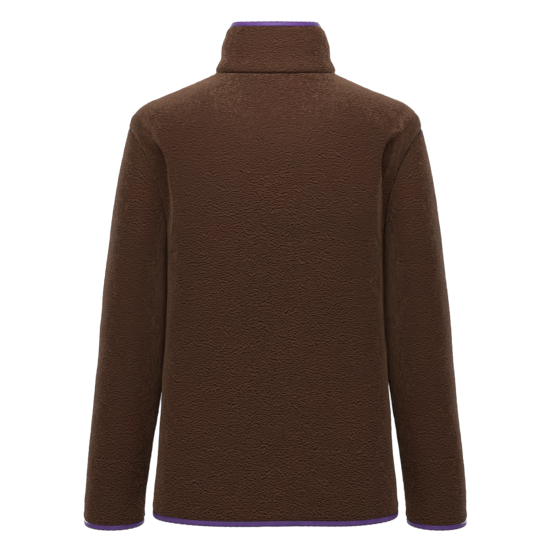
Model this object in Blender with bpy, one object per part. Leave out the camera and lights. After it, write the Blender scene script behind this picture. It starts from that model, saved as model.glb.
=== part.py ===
"""A fleece jacket with a stand-up collar, filled out as if it were worn.

Metres, +Z up. The jacket's front faces -Y and the wearer's left is +X. The origin is the middle of the neck,
level with the collar seam at the centre of the back. Each cloth piece is cut as a flat grid with its wall
thickness, and every point of it is then moved to where the cloth hangs.
"""

import math

import bmesh
import bpy
import numpy as np
from mathutils import Matrix, Vector

# Cloth
WALL = 0.004  # short curly pile on both faces
GAP = 0.0003  # between two pieces at a seam
NECK_GAP = 0.0006  # wider, because the seam twists as it drops to the front
BINDING_WALL = 0.001
BINDING_GAP = 0.0005  # between a binding and the cloth inside it
BINDING_HEIGHT = 0.006

# Levels, from the collar seam at the centre of the back
UNDERARM = -0.285
SHOULDER_TIP = -0.075
HEM_SIDE = -0.6460
HEM_MIDDLE = -0.6515
HEM_CURVE = 7.0  # how late the hem rises towards the side seam
CUFF_SIDE = -0.6690
CUFF_MIDDLE = -0.6730
CUFF_CURVE = 0.8

# Neck ring and collar
NECK_HALF_WIDTH = 0.090
NECK_BACK = 0.075
NECK_FRONT = 0.078
NECK_POINT = 0.0065
NECK_DROP = 0.080  # from the side of the neck to the centre of the front
NECK_CURVE = 1.6  # how late the neck seam drops
COLLAR_BACK = 0.0760  # the rim's height at the centre of the back
RIM_RISE = (0.0063, 0.0120, -0.0173)  # the rim from there: up a little to the sides, then down to the zip
COLLAR_FRONT_UPRIGHT = 0.6  # how much less the collar leans in at the zip
NECK_LEAN = math.radians(40)  # how far the cloth's face leans up at the neck seam

# Body form
SQUARENESS = 0.50  # of the body's rings: 1 is an ellipse, less is fuller at the sides
ARMHOLE_DEPTH = 0.067  # half its size from front to back
UNDERARM_ROUND = 0.080  # the height in which the armhole rounds at its foot
SHOULDER_ROUND = 0.075  # the height in which the body rounds over to the shoulder seam
NECK_ROUND = 0.055  # how much more height that takes beside the neck
NECK_SIDE = 0.055  # where beside the neck the shoulder's rounding takes over, and over what width
NECK_BLEND = 0.060
TOP_BLEND = 0.120  # the height in which the columns fan out to the neck and shoulder seams
TROUGH_CLEAR = 0.020  # no trough where the body is shallower than this

# Sleeves
SLEEVE_SETTLE = 0.55  # of a sleeve's length, in which its columns turn from the armhole to the ring
SLEEVE_MEET = 0.22  # of its length, in which the ring grows out of the armhole
SLEEVE_SPREAD = 1.15  # how much longer the rows get towards the cuff
DENT_TURN = 45  # how far round the arm a dent reaches, in degrees

# Front opening and zip
OPENING_HALF = 0.006
TAPE_INNER = 0.0029
TAPE_OUTER = 0.0165
TAPE_WALL = 0.0008
TEETH_HALF = 0.0025
TEETH_WALL = 0.0022
TAPE_DEPTH = WALL + 3 * GAP + TAPE_WALL / 2  # from the cloth's outer face to the tape's middle
TEETH_TOP = 0.80  # of the collar's height
SLIDER_WIDTH = 0.0092
SLIDER_HEIGHT = 0.0105
SLIDER_SLOT = 0.0028  # between its two plates
PLATE = 0.0011
POST_HALF = 0.0022
POST_FOOT = 0.0012
POST_INSET = 0.0006
LUG_HALF = 0.0008
LUG_TALL = 0.0021
EYE_RADIUS = 0.0011
EYE_WALL = 0.0010
EYE_OUT = 0.0021  # the eye's middle in front of the front plate
PULL_LENGTH = 0.026
PULL_WIDTH = 0.0056
PULL_THICK = 0.0013
SLOT_HALF = 0.0014
SLOT_LENGTH = 0.0036
ZIP_BOX_HALF = 0.0042
ZIP_BOX_WALL = 0.0034
TAPE_TOP = 1.90  # steps along the opening: 0 at the hem, 1 at the neck seam, 2 at the rim
TAPE_BOTTOM = 0.012
BODY_RADIUS = 0.30  # how round the front is beside the zip, on the body and at the neck
NECK_RADIUS = 0.070

# The body's ring at each height: half its width, and how far it reaches back and front.
TORSO = (
    {"height": 0.010, "half_width": 0.2200, "back": 0.104, "front": 0.084},
    {"height": -0.075, "half_width": 0.2050, "back": 0.119, "front": 0.108},
    {"height": -0.160, "half_width": 0.1800, "back": 0.129, "front": 0.128},
    {"height": -0.285, "half_width": 0.1655, "back": 0.126, "front": 0.136},
    {"height": -0.400, "half_width": 0.1650, "back": 0.118, "front": 0.134},
    {"height": -0.480, "half_width": 0.1692, "back": 0.119, "front": 0.133},
    {"height": -0.570, "half_width": 0.1758, "back": 0.126, "front": 0.135},
    {"height": -0.625, "half_width": 0.1815, "back": 0.132, "front": 0.138},
    {"height": -0.650, "half_width": 0.1820, "back": 0.132, "front": 0.138},
)

# The shoulder seam, from the neck point to the tip.
SHOULDER = (
    {"across": 0.0900, "height": 0.0065},
    {"across": 0.1090, "height": -0.0040},
    {"across": 0.1400, "height": -0.0165},
    {"across": 0.1730, "height": -0.0298},
    {"across": 0.1960, "height": -0.0400},
    {"across": 0.2090, "height": -0.0515},
    {"across": 0.2165, "height": -0.0630},
    {"across": 0.2195, "height": -0.0750},
)

# The armhole seam, seen from behind.
ARMHOLE = (
    {"height": -0.075, "across": 0.2195},
    {"height": -0.094, "across": 0.2067},
    {"height": -0.113, "across": 0.1937},
    {"height": -0.156, "across": 0.1790},
    {"height": -0.200, "across": 0.1715},
    {"height": -0.285, "across": 0.1670},
)

# A sleeve's ring at each height: its outer and inner side, half its size from front to back, and how far
# its middle lies in front of the shoulder.
SLEEVE = (
    {"height": -0.0750, "outer": 0.2195, "inner": 0.1500, "depth": 0.060, "forward": 0.000},
    {"height": -0.1075, "outer": 0.2268, "inner": 0.1490, "depth": 0.069, "forward": 0.000},
    {"height": -0.1525, "outer": 0.2355, "inner": 0.1510, "depth": 0.074, "forward": 0.000},
    {"height": -0.2125, "outer": 0.2447, "inner": 0.1580, "depth": 0.078, "forward": 0.000},
    {"height": -0.2850, "outer": 0.2540, "inner": 0.1674, "depth": 0.078, "forward": 0.002},
    {"height": -0.3600, "outer": 0.2620, "inner": 0.1672, "depth": 0.074, "forward": 0.005},
    {"height": -0.4400, "outer": 0.2690, "inner": 0.1692, "depth": 0.069, "forward": 0.009},
    {"height": -0.4825, "outer": 0.2730, "inner": 0.1740, "depth": 0.066, "forward": 0.012},
    {"height": -0.5425, "outer": 0.2800, "inner": 0.1838, "depth": 0.062, "forward": 0.016},
    {"height": -0.6025, "outer": 0.2858, "inner": 0.1928, "depth": 0.058, "forward": 0.021},
    {"height": -0.6325, "outer": 0.2884, "inner": 0.1965, "depth": 0.056, "forward": 0.024},
    {"height": -0.6800, "outer": 0.2895, "inner": 0.2000, "depth": 0.054, "forward": 0.028},
)

# The collar from its seam to its rim: how far it stands inside the neck ring, and how much more at its sides
# and at the back.
COLLAR = (
    {"rise": 0.00, "inward": 0.0000, "side": 0.0000, "back": 0.0000},
    {"rise": 0.10, "inward": 0.0008, "side": 0.0000, "back": 0.0006},
    {"rise": 0.28, "inward": 0.0062, "side": 0.0004, "back": 0.0026},
    {"rise": 0.60, "inward": 0.0068, "side": 0.0024, "back": 0.0060},
    {"rise": 0.78, "inward": 0.0077, "side": 0.0064, "back": 0.0078},
    {"rise": 0.88, "inward": 0.0085, "side": 0.0098, "back": 0.0088},
    {"rise": 1.00, "inward": 0.0095, "side": 0.0140, "back": 0.0100},
)

# Soft troughs down the back and front, beside each armhole: where one starts and ends, how far from the
# middle, its width, and its depth. Side +1 is the wearer's left.
TROUGHS = (
    {"face": 1, "side": 1, "top": -0.095, "bottom": -0.33, "across": 0.158, "width": 0.013, "depth": 0.006},
    {"face": 1, "side": -1, "top": -0.090, "bottom": -0.30, "across": 0.170, "width": 0.008, "depth": 0.008},
    {"face": -1, "side": 1, "top": -0.100, "bottom": -0.31, "across": 0.160, "width": 0.012, "depth": 0.006},
    {"face": -1, "side": -1, "top": -0.105, "bottom": -0.32, "across": 0.162, "width": 0.012, "depth": 0.006},
)

# Soft dents in the sleeves where the elbow bends: height, direction round the arm (0 is outwards, 90 is
# backwards), size up and down, and depth.
SLEEVE_DENTS = (
    {"height": -0.300, "turn": -60, "size": 0.030, "depth": 0.0040},
    {"height": -0.375, "turn": -110, "size": 0.026, "depth": 0.0050},
    {"height": -0.430, "turn": -75, "size": 0.022, "depth": 0.0040},
    {"height": -0.560, "turn": 100, "size": 0.034, "depth": 0.0025},
)

# How finely each piece is divided
NECK_COLUMNS = 5  # from the middle to the neck point
SHOULDER_COLUMNS = 6
NECK_SHARE = 0.36  # of a panel's half width at its top, from the middle to the neck point
BODY_ROWS = 8  # from the binding of the hem to the underarm
HEM_ROW = 0.018  # the first row above the hem, as a share of the panel's height
CUFF_ROW = 0.975
RIM_ROW = 0.88
ROUND_STEPS_LOW = 4
STRAIGHT_STEPS = 2
ROUND_STEPS_HIGH = 4
SLEEVE_ROWS = 13
COLLAR_ROWS = 4

FLEECE = (0.062, 0.031, 0.021)
FLEECE_DARK = (0.052, 0.027, 0.018)
PURPLE = (0.190, 0.085, 0.260)
TAPE_BROWN = (0.030, 0.018, 0.013)
METAL_BROWN = (0.110, 0.080, 0.065)


# ---------------------------------------------------------------- helpers


def clear_scene():
    for item in list(bpy.data.objects):
        bpy.data.objects.remove(item, do_unlink=True)


def make_material(name, colour, roughness, metallic=0.0):
    material = bpy.data.materials.new(name)
    material.use_nodes = True
    shader = material.node_tree.nodes["Principled BSDF"]
    shader.inputs["Base Color"].default_value = (*colour, 1.0)
    shader.inputs["Roughness"].default_value = roughness
    shader.inputs["Metallic"].default_value = metallic
    return material


def read(table, key, column, at):
    """A table's column, read smoothly at any value of its key."""
    rows = sorted(table, key=lambda row: row[key])
    keys = np.array([row[key] for row in rows])
    values = np.array([row[column] for row in rows])
    slopes = np.gradient(values, keys)
    at = np.clip(at, keys[0], keys[-1])
    low = np.clip(np.searchsorted(keys, at) - 1, 0, len(keys) - 2)
    span = keys[low + 1] - keys[low]
    t = (at - keys[low]) / span
    rise = values[low + 1] - values[low]
    start = slopes[low] * span
    end = slopes[low + 1] * span
    return values[low] + t * (start + t * (3 * rise - 2 * start - end + t * (start + end - 2 * rise)))


def ease(t):
    t = np.clip(t, 0.0, 1.0)
    return t * t * (3 - 2 * t)


def quarter(t):
    """Rises from 0 to 1 as a quarter circle does, and stays at 1."""
    t = np.clip(t, 0.0, 1.0)
    return np.sqrt(1 - (1 - t) ** 2)


def unit(vectors):
    return vectors / np.maximum(np.linalg.norm(vectors, axis=-1, keepdims=True), 1e-12)


def stack(x, y, z):
    return np.stack(np.broadcast_arrays(x, y, z), axis=-1)


def facing(place, u, v, outside):
    """The direction that the cloth faces, from the points just beside each point."""
    step = 0.004
    along = place(u + step, v) - place(u - step, v)
    up = place(u, v + step) - place(u, v - step)
    return unit(np.cross(along, up)) * outside


def cut_cloth(name, us, vs, shape, material, collection):
    """A flat grid with one column edge at each of us and one row edge at each of vs, with its thickness,
    moved to shape(u, v, inside)."""
    mesh = bpy.data.meshes.new(name)
    grid = bmesh.new()
    columns, rows = len(us) - 1, len(vs) - 1
    bmesh.ops.create_grid(grid, x_segments=columns, y_segments=rows, size=0.5)
    bmesh.ops.solidify(grid, geom=grid.faces[:], thickness=1.0)
    flat = np.array([vertex.co for vertex in grid.verts])
    u = np.array(us)[np.rint((flat[:, 0] + 0.5) * columns).astype(int)]
    v = np.array(vs)[np.rint((flat[:, 1] + 0.5) * rows).astype(int)]
    inside = (np.abs(flat[:, 2]) > 0.5).astype(float)
    for vertex, point in zip(grid.verts, shape(u, v, inside)):
        vertex.co = point
    bmesh.ops.recalc_face_normals(grid, faces=grid.faces[:])
    if grid.calc_volume(signed=True) < 0:
        bmesh.ops.reverse_faces(grid, faces=grid.faces[:])
    grid.to_mesh(mesh)
    grid.free()
    return add_object(name, mesh, material, collection)


def add_object(name, mesh, material, collection):
    mesh.materials.clear()
    mesh.materials.append(material)
    piece = bpy.data.objects.new(name, mesh)
    collection.objects.link(piece)
    return piece


# ---------------------------------------------------------------- body form


def panel_rows():
    """Row edges from the hem (0) to the shoulder (1), closer together where the armhole is round."""
    whole = SHOULDER_TIP - HEM_SIDE
    underarm = (UNDERARM - HEM_SIDE) / whole
    low = UNDERARM_ROUND / whole
    high = SHOULDER_ROUND / whole
    rows = [0.0] + [HEM_ROW + (underarm - HEM_ROW) * k / BODY_ROWS for k in range(BODY_ROWS)]
    quarter_steps = [math.pi / 2 * k / ROUND_STEPS_LOW for k in range(ROUND_STEPS_LOW)]
    rows += [underarm + low * (1 - math.cos(turn)) for turn in quarter_steps]
    start, end = underarm + low, 1 - high
    rows += [start + (end - start) * k / STRAIGHT_STEPS for k in range(STRAIGHT_STEPS)]
    rows += [1 - high * (1 - math.sin(math.pi / 2 * k / ROUND_STEPS_HIGH)) for k in range(ROUND_STEPS_HIGH)]
    return rows + [1.0]


def panel_columns():
    """Column edges from the middle (0) to the side (1), with one at the neck point."""
    neck = [NECK_SHARE * k / NECK_COLUMNS for k in range(NECK_COLUMNS)]
    shoulder = [NECK_SHARE + (1 - NECK_SHARE) * k / SHOULDER_COLUMNS for k in range(SHOULDER_COLUMNS + 1)]
    return neck + shoulder


def underarm_row():
    return (UNDERARM - HEM_SIDE) / (SHOULDER_TIP - HEM_SIDE)


def panel_edge(v):
    """The body's edge at a row: its height, how far across and how deep. Below the armhole it is the side
    seam, and above it is the armhole's seam."""
    height = HEM_SIDE + (SHOULDER_TIP - HEM_SIDE) * v
    open_part = height > UNDERARM
    armhole = read(ARMHOLE, "height", "across", height)
    across = np.where(open_part, armhole, read(TORSO, "height", "half_width", height))
    return height, across, ARMHOLE_DEPTH * quarter((height - UNDERARM) / UNDERARM_ROUND)


def shoulder_path(share):
    """The shoulder seam at a share of its length, from the neck point (0) to the tip (1)."""
    across = np.linspace(SHOULDER[0]["across"], SHOULDER[-1]["across"], 200)
    height = read(SHOULDER, "across", "height", across)
    length = np.concatenate([[0], np.cumsum(np.hypot(np.diff(across), np.diff(height)))])
    at = np.clip(share, 0, 1) * length[-1]
    return np.interp(at, length, across), np.interp(at, length, height)


def neck_ring(turn):
    """The neck seam, from the centre of the back (0) over the side (90 degrees) to the front (180)."""
    turn = np.abs(turn)
    front = turn > math.pi / 2
    deep = np.where(front, NECK_FRONT, NECK_BACK) * np.cos(turn)
    fall = np.where(front, NECK_DROP, NECK_POINT) * np.abs(np.cos(turn)) ** NECK_CURVE
    return NECK_HALF_WIDTH * np.sin(turn), deep, NECK_POINT - fall


def opening_turn():
    return math.asin(OPENING_HALF / NECK_HALF_WIDTH)


def panel_top(u, face):
    """The panel's top edge: the neck seam, then the shoulder seam. u runs from 0 to 1."""
    in_neck = np.clip(u / NECK_SHARE, 0, 1)
    start = 0.0 if face > 0 else opening_turn()
    turn = start + (math.pi / 2 - start) * in_neck
    neck = neck_ring(turn if face > 0 else math.pi - turn)
    shoulder = shoulder_path((u - NECK_SHARE) / (1 - NECK_SHARE))
    on_neck = u < NECK_SHARE
    across = np.where(on_neck, neck[0], shoulder[0])
    return across, np.where(on_neck, neck[1], 0.0), np.where(on_neck, neck[2], shoulder[1])


def hem_height(u):
    return HEM_MIDDLE + (HEM_SIDE - HEM_MIDDLE) * np.abs(u) ** HEM_CURVE


def panel_point(u, v, face, side):
    """A point on the outside of the body. face is +1 for the back and -1 for a front, side is +1 for the
    wearer's left, u runs from the middle to the side seam and v from the hem to the shoulder."""
    u, v = np.abs(u), np.asarray(v, float)
    edge_height, edge_across, edge_deep = panel_edge(v)
    depth_column = "back" if face > 0 else "front"
    edge_reach = read(TORSO, "height", depth_column, edge_height)
    turn = np.arccos((edge_deep / edge_reach) ** (1 / SQUARENESS))
    top_across, top_deep, top_height = panel_top(u, face)
    height = hem_height(u) + (top_height - hem_height(u)) * v
    below = top_height - height

    start = 0.0 if face > 0 else OPENING_HALF
    plain = start + (edge_across - start) * np.sin(u * turn) / np.sin(turn)
    topped = edge_across * top_across / SHOULDER[-1]["across"]
    across = plain + (topped - plain) * np.clip(1 - below / TOP_BLEND, 0, 1) ** 2
    angle = np.arcsin(np.clip(across / edge_across, 0, 1) * np.sin(turn))
    deep = read(TORSO, "height", depth_column, height) * np.cos(angle) ** SQUARENESS

    necked = 1 - ease((top_across - NECK_SIDE) / NECK_BLEND)
    round_over = SHOULDER_ROUND + NECK_ROUND * necked
    rise = quarter(below / round_over) ** (1 + necked)
    deep = np.abs(top_deep) + (deep - np.abs(top_deep)) * rise
    for trough in TROUGHS:
        if trough["face"] == face and trough["side"] == side:
            middle = (trough["top"] + trough["bottom"]) / 2
            half = (trough["top"] - trough["bottom"]) / 2
            along = np.clip(1 - ((height - middle) / half) ** 2, 0, 1)
            beside = (across - trough["across"]) / trough["width"]
            deep = deep - trough["depth"] * along * np.exp(-(beside**2)) * (deep > TROUGH_CLEAR)
    return stack(side * across, face * deep, height)


def armhole_frame(v, face, side):
    """At the armhole seam: the way the wall's thickness points, and the way across the seam."""
    height, _, _ = panel_edge(v)
    above = np.minimum(height + 0.002, SHOULDER_TIP)
    below = np.maximum(height - 0.002, UNDERARM)
    rise = read(ARMHOLE, "height", "across", above) - read(ARMHOLE, "height", "across", below)
    slope = rise / (above - below)
    across = unit(stack(side * np.ones_like(slope), 0.0, -slope))
    bend = 0.004
    low = panel_point(np.ones_like(v), np.clip(v - bend, underarm_row(), 1), face, side)
    high = panel_point(np.ones_like(v), np.clip(v + bend, underarm_row(), 1), face, side)
    along = unit(high - low)
    out = unit(np.cross(along, across)) * face * side
    out = np.where(np.isclose(v, 1.0)[:, None], unit(np.cross(across, [0.0, 1.0, 0.0])) * side, out)
    at_bottom = np.isclose(v, underarm_row())[:, None]
    return np.where(at_bottom, np.array([0.0, 0.0, -1.0]), out), across


def neck_frame(turn, side):
    """At the neck seam: the way the wall's thickness points, and the way up across the seam."""
    out = unit(stack(np.sin(turn) / NECK_HALF_WIDTH * side, np.cos(turn) / NECK_BACK, 0.0))
    lean = out * math.cos(NECK_LEAN) + np.array([0.0, 0.0, math.sin(NECK_LEAN)])
    ahead, behind = neck_ring(np.minimum(turn + 0.02, math.pi)), neck_ring(np.maximum(turn - 0.02, 0.0))
    along = stack((ahead[0] - behind[0]) * side, ahead[1] - behind[1], ahead[2] - behind[2])
    at_middle = (turn < 0.03)[:, None]
    along = unit(np.where(at_middle, stack(side * np.ones_like(turn), 0.0, 0.0), along))
    lean = unit(lean - along * (lean * along).sum(1)[:, None])
    return lean, np.cross(along, lean) * np.broadcast_to(side, turn.shape)[:, None]


def panel_shape(face, side_of):
    """shape(u, v, inside) for the back, whose u runs from -1 to 1, or for one front."""

    def shape(u, v, inside):
        sides = np.where(u < 0, -1, 1) if side_of == 0 else np.full(len(u), side_of)
        size = np.abs(u)
        points = np.zeros((len(u), 3))
        walls = np.zeros((len(u), 3))
        for side in (-1, 1):
            here = sides == side
            if not here.any():
                continue
            a, b = size[here], v[here]
            point = panel_point(a, b, face, side)
            inner = np.clip(a, 0.01, 0.985)
            lower = np.clip(b, 0.0, 0.985)
            wall = facing(lambda p, q: panel_point(p, q, face, side), inner, lower, face * side * -1)
            middle = (a < 0.001)[:, None] & (face > 0)
            wall = np.where(middle, unit(wall * np.array([0.0, 1.0, 1.0])), wall)
            edge = np.isclose(a, 1.0)
            below = edge & (b < underarm_row() - 1e-6)
            wall[below] = unit(wall[below] * np.array([1.0, 0.0, 1.0]))
            point[below, 1] += face * GAP / 2
            top = np.isclose(b, 1.0)
            on_shoulder = top & (a > NECK_SHARE + 1e-6)
            share = (a[on_shoulder] - NECK_SHARE) / (1 - NECK_SHARE)
            ahead = shoulder_path(share + 0.01)
            behind = shoulder_path(share - 0.01)
            ridge = unit(stack(ahead[0] - behind[0], 0.0, ahead[1] - behind[1]))
            wall[on_shoulder] = stack(-ridge[:, 2] * side, 0.0, ridge[:, 0])
            point[on_shoulder, 1] += face * GAP / 2
            on_armhole = edge & (b >= underarm_row() - 1e-6)
            out, across = armhole_frame(b, face, side)
            wall[on_armhole] = out[on_armhole]
            point[on_armhole] -= across[on_armhole] * GAP / 2
            corner = np.isclose(b, underarm_row()) & edge
            point[corner, 1] += face * GAP / 2
            on_neck = top & (a <= NECK_SHARE + 1e-6)
            start = 0.0 if face > 0 else opening_turn()
            turn = start + (math.pi / 2 - start) * a / NECK_SHARE
            out, up = neck_frame(turn if face > 0 else math.pi - turn, side)
            wall[on_neck] = out[on_neck]
            point[on_neck] -= up[on_neck] * NECK_GAP / 2
            neck_point = on_neck & np.isclose(a, NECK_SHARE)
            point[neck_point, 1] += face * GAP / 2
            points[here] = point
            walls[here] = wall
        return points - walls * (inside * WALL)[:, None]

    return shape


# ---------------------------------------------------------------- sleeves


def sleeve_rings(height, turn, side):
    """A point on the sleeve's ring at a height; turn is 0 outwards and 90 degrees backwards."""
    outer = read(SLEEVE, "height", "outer", height)
    inner = read(SLEEVE, "height", "inner", height)
    depth = read(SLEEVE, "height", "depth", height)
    forward = read(SLEEVE, "height", "forward", height)
    dent = np.zeros_like(height)
    for row in SLEEVE_DENTS:
        round_arm = np.abs((np.degrees(turn) - row["turn"] + 180) % 360 - 180) / DENT_TURN
        dent += row["depth"] * np.exp(-(((height - row["height"]) / row["size"]) ** 2) - round_arm**2)
    half = (outer - inner) / 2 - dent
    middle = (outer + inner) / 2
    return stack(side * (middle + half * np.cos(turn)), (depth - dent) * np.sin(turn) - forward, height)


def armhole_row(turn):
    """The body's row that meets the sleeve at an angle round the arm, counted in the body's own rows."""
    rows = [row for row in panel_rows() if row >= underarm_row() - 1e-9]
    steps = np.linspace(math.pi, 0, len(rows))
    return np.interp(np.abs(turn), steps[::-1], rows[::-1])


def sleeve_point(u, v, side):
    """A point on the outside of a sleeve. u runs round the arm from the seam under the arm, over the back
    and the front, and v from the armhole (0) to the cuff (1)."""
    turn = math.pi * (1 - 2 * np.asarray(u, float))
    row = armhole_row(turn)
    start = np.where(
        (turn >= 0)[..., None],
        panel_point(np.ones_like(row), row, 1, side),
        panel_point(np.ones_like(row), row, -1, side),
    )
    low = CUFF_SIDE + (CUFF_MIDDLE - CUFF_SIDE) * np.abs(np.sin(turn)) ** CUFF_CURVE
    height = start[..., 2] + (low - start[..., 2]) * v
    outer = read(SLEEVE, "height", "outer", start[..., 2])
    inner = read(SLEEVE, "height", "inner", start[..., 2])
    depth = read(SLEEVE, "height", "depth", start[..., 2])
    from_middle = (side * start[..., 0] - (outer + inner) / 2) / ((outer - inner) / 2)
    first = np.arctan2(start[..., 1] / depth, from_middle)
    first = np.where(np.isclose(np.abs(turn), math.pi), turn, first)
    angle = first + (turn - first) * ease(v / SLEEVE_SETTLE)
    ring = sleeve_rings(height, angle, side)
    rest = start - sleeve_rings(start[..., 2], first, side)
    return ring + rest * (np.clip(1 - v / SLEEVE_MEET, 0, 1) ** 2)[..., None]


def sleeve_shape(side):
    def shape(u, v, inside):
        inner = np.clip(u, 0.012, 0.988)
        point = sleeve_point(u, v, side)
        wall = facing(lambda p, q: sleeve_point(p, q, side), inner, np.maximum(v, 0.012), 1)
        outer = read(SLEEVE, "height", "outer", point[:, 2])
        inner_side = read(SLEEVE, "height", "inner", point[:, 2])
        outward = point - stack(side * (outer + inner_side) / 2, 0.0, point[:, 2])
        wall *= np.where((wall * outward).sum(1) < 0, -1, 1)[:, None]
        first = np.isclose(v, 0.0)
        turn = math.pi * (1 - 2 * u)
        row = armhole_row(turn)
        for face in (1, -1):
            here = first & ((turn >= -1e-9) if face > 0 else (turn < -1e-9))
            out, across = armhole_frame(row[here], face, side)
            wall[here] = out
            point[here] += across * GAP / 2
        seam = np.isclose(u, 0.0) | np.isclose(u, 1.0)
        wall[seam & ~first] = unit(wall[seam & ~first] * np.array([1.0, 0.0, 1.0]))
        point[seam, 1] += np.where(u[seam] < 0.5, GAP / 2, -GAP / 2)
        return point - wall * (inside * WALL)[:, None]

    return shape


# ---------------------------------------------------------------- collar


def rim_height(turn):
    round_neck = 1 - np.cos(turn)
    first, second, third = RIM_RISE
    return COLLAR_BACK + round_neck * (first + round_neck * (second + round_neck * third))


def collar_point(turn, rise):
    """A point on the outside of the collar. turn is 0 at the centre of the back and grows to the left."""
    sign = np.where(turn < 0, -1, 1)
    across, deep, base = neck_ring(turn)
    upright = 1 - COLLAR_FRONT_UPRIGHT * np.clip(-np.cos(turn), 0, 1)
    inward = read(COLLAR, "rise", "inward", rise) + read(COLLAR, "rise", "side", rise) * np.sin(turn) ** 2
    inward = (inward + read(COLLAR, "rise", "back", rise) * np.clip(np.cos(turn), 0, 1) ** 2) * upright
    height = base + (rim_height(turn) - base) * rise
    return stack(sign * (across - inward * np.abs(np.sin(turn))), deep - inward * np.cos(turn), height)


def collar_shape(u, v, inside):
    turn = u
    point = collar_point(turn, v)
    inner = np.where(np.abs(turn) < 0.02, 0.02, turn)
    wall = facing(lambda p, q: collar_point(p, q), inner, np.clip(v, 0.01, 0.97), 1)
    wall *= np.sign((wall * (point - np.array([0.0, 0.0, 1.0]) * point[:, 2:])).sum(1))[:, None]
    wall[np.abs(turn) < 0.001] = unit(wall[np.abs(turn) < 0.001] * np.array([0.0, 1.0, 1.0]))
    first = np.isclose(v, 0.0)
    out, up = neck_frame(np.abs(turn), np.where(turn < 0, -1, 1))
    wall = np.where(first[:, None], out, wall)
    point = point + np.where(first[:, None], up, 0.0) * NECK_GAP / 2
    return point - wall * (inside * WALL)[:, None]


# ---------------------------------------------------------------- bindings


def edge_lines(shape, u, v_edge, v_near):
    """A cloth edge's two lines, outside and inside, and the way off the cloth along each."""
    lines = []
    for inside in (0.0, 1.0):
        edge = shape(u, np.full(len(u), v_edge), np.full(len(u), inside))
        near = shape(u, np.full(len(u), v_near), np.full(len(u), inside))
        lines += [edge, unit(edge - near)]
    return lines


def bind(name, lines, material, collection):
    """A folded strip round a cloth edge, from its edge_lines."""
    edge, off, inner_edge, inner_off = lines
    out = unit(edge - inner_edge)
    past = unit(off + inner_off)

    def shape(u, v, inside):
        at = np.rint(u).astype(int)
        fold = np.rint(v).astype(int)
        clear = (BINDING_GAP + BINDING_WALL * (1 - inside))[:, None]
        points = np.zeros((len(u), 3))
        for number, line, leg, sign in (
            (0, edge, -off, 1),
            (1, edge, None, 1),
            (2, inner_edge, None, -1),
            (3, inner_edge, -inner_off, -1),
        ):
            corner = line[at] + sign * out[at] * clear
            corner += past[at] * clear if leg is None else leg[at] * BINDING_HEIGHT
            points = np.where((fold == number)[:, None], corner, points)
        return points

    return cut_cloth(name, range(len(edge)), [0, 1, 2, 3], shape, material, collection)


# ---------------------------------------------------------------- zip


def front_line(across, step, inward):
    """A point behind the front's outer face beside the opening, at a step from the hem (0) over the neck
    seam (1) to the collar's rim (2)."""
    step = np.asarray(step, float)
    rows = np.minimum(step, 1.0)
    body = panel_point(np.zeros_like(rows), rows, -1, 1)
    collar = collar_point(np.full_like(step, math.pi - opening_turn()), np.clip(step - 1, 0, 1))
    line = np.where((step <= 1)[..., None], body, collar)
    radius = BODY_RADIUS + (NECK_RADIUS - BODY_RADIUS) * ease((step - 0.75) / 0.2)
    inward = inward + (across**2 - OPENING_HALF**2) / (2 * radius)
    lines = []
    for offset in (-0.01, 0.01):
        at = np.clip(step + offset, 0, 2)
        part = panel_point(np.zeros_like(at), np.minimum(at, 1.0), -1, 1)
        upper = collar_point(np.full_like(at, math.pi - opening_turn()), np.clip(at - 1, 0, 1))
        lines.append(np.where((at <= 1)[..., None], part, upper))
    along = unit((lines[1] - lines[0]) * np.array([0.0, 1.0, 1.0]))
    back = stack(0.0, along[..., 2], -along[..., 1])
    point = line + back * inward[..., None]
    point[..., 0] = across
    return point


def zip_steps():
    body = [row for row in panel_rows() if 0.004 < row]
    collar = [1 + k / COLLAR_ROWS for k in range(1, COLLAR_ROWS)]
    return [TAPE_BOTTOM] + body + collar + [TAPE_TOP]


def tape_shape(side):
    def shape(u, v, inside):
        across = side * (TAPE_INNER + (TAPE_OUTER - TAPE_INNER) * u)
        return front_line(across, v, TAPE_DEPTH + (inside - 0.5) * TAPE_WALL)

    return shape


def teeth_shape(u, v, inside):
    return front_line((u - 0.5) * 2 * TEETH_HALF, v, TAPE_DEPTH + (inside - 0.5) * TEETH_WALL)


def box(name, low, high):
    """A box from its lowest to its highest corner, as a mesh."""
    mesh = bpy.data.meshes.new(name)
    block = bmesh.new()
    bmesh.ops.create_cube(block, size=1.0)
    low, high = Vector(low), Vector(high)
    size = high - low
    for vertex in block.verts:
        vertex.co = [(low[k] + high[k]) / 2 + vertex.co[k] * size[k] for k in range(3)]
    block.to_mesh(mesh)
    block.free()
    return mesh


def combine(piece, mesh, operation, guides):
    """Joins a mesh to a piece, or cuts it away."""
    tool = bpy.data.objects.new(piece.name + "_tool", mesh)
    tool.hide_render = True
    tool.display_type = "WIRE"
    tool.parent = piece.parent
    tool.matrix_world = piece.matrix_world
    guides.objects.link(tool)
    step = piece.modifiers.new(operation.lower(), "BOOLEAN")
    step.operation = operation
    step.object = tool


def eye_bore(radius, half_length):
    mesh = bpy.data.meshes.new("eye_bore")
    bore = bmesh.new()
    bmesh.ops.create_cone(
        bore, cap_ends=True, segments=16, radius1=radius, radius2=radius, depth=2 * half_length
    )
    bmesh.ops.rotate(bore, verts=bore.verts[:], matrix=Matrix.Rotation(math.pi / 2, 3, "Y"))
    bore.to_mesh(mesh)
    bore.free()
    return mesh


def zip_place():
    """Where the slider sits: a point between the two tapes, and how the zip leans there."""
    ends = front_line(0.0, np.array([1 + TEETH_TOP - 0.05, 1 + TEETH_TOP + 0.05]), np.full(2, TAPE_DEPTH))
    middle = Vector(ends.mean(0))
    along = Vector(ends[1] - ends[0]).normalized()
    return middle, math.atan2(-along.y, along.z)


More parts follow.
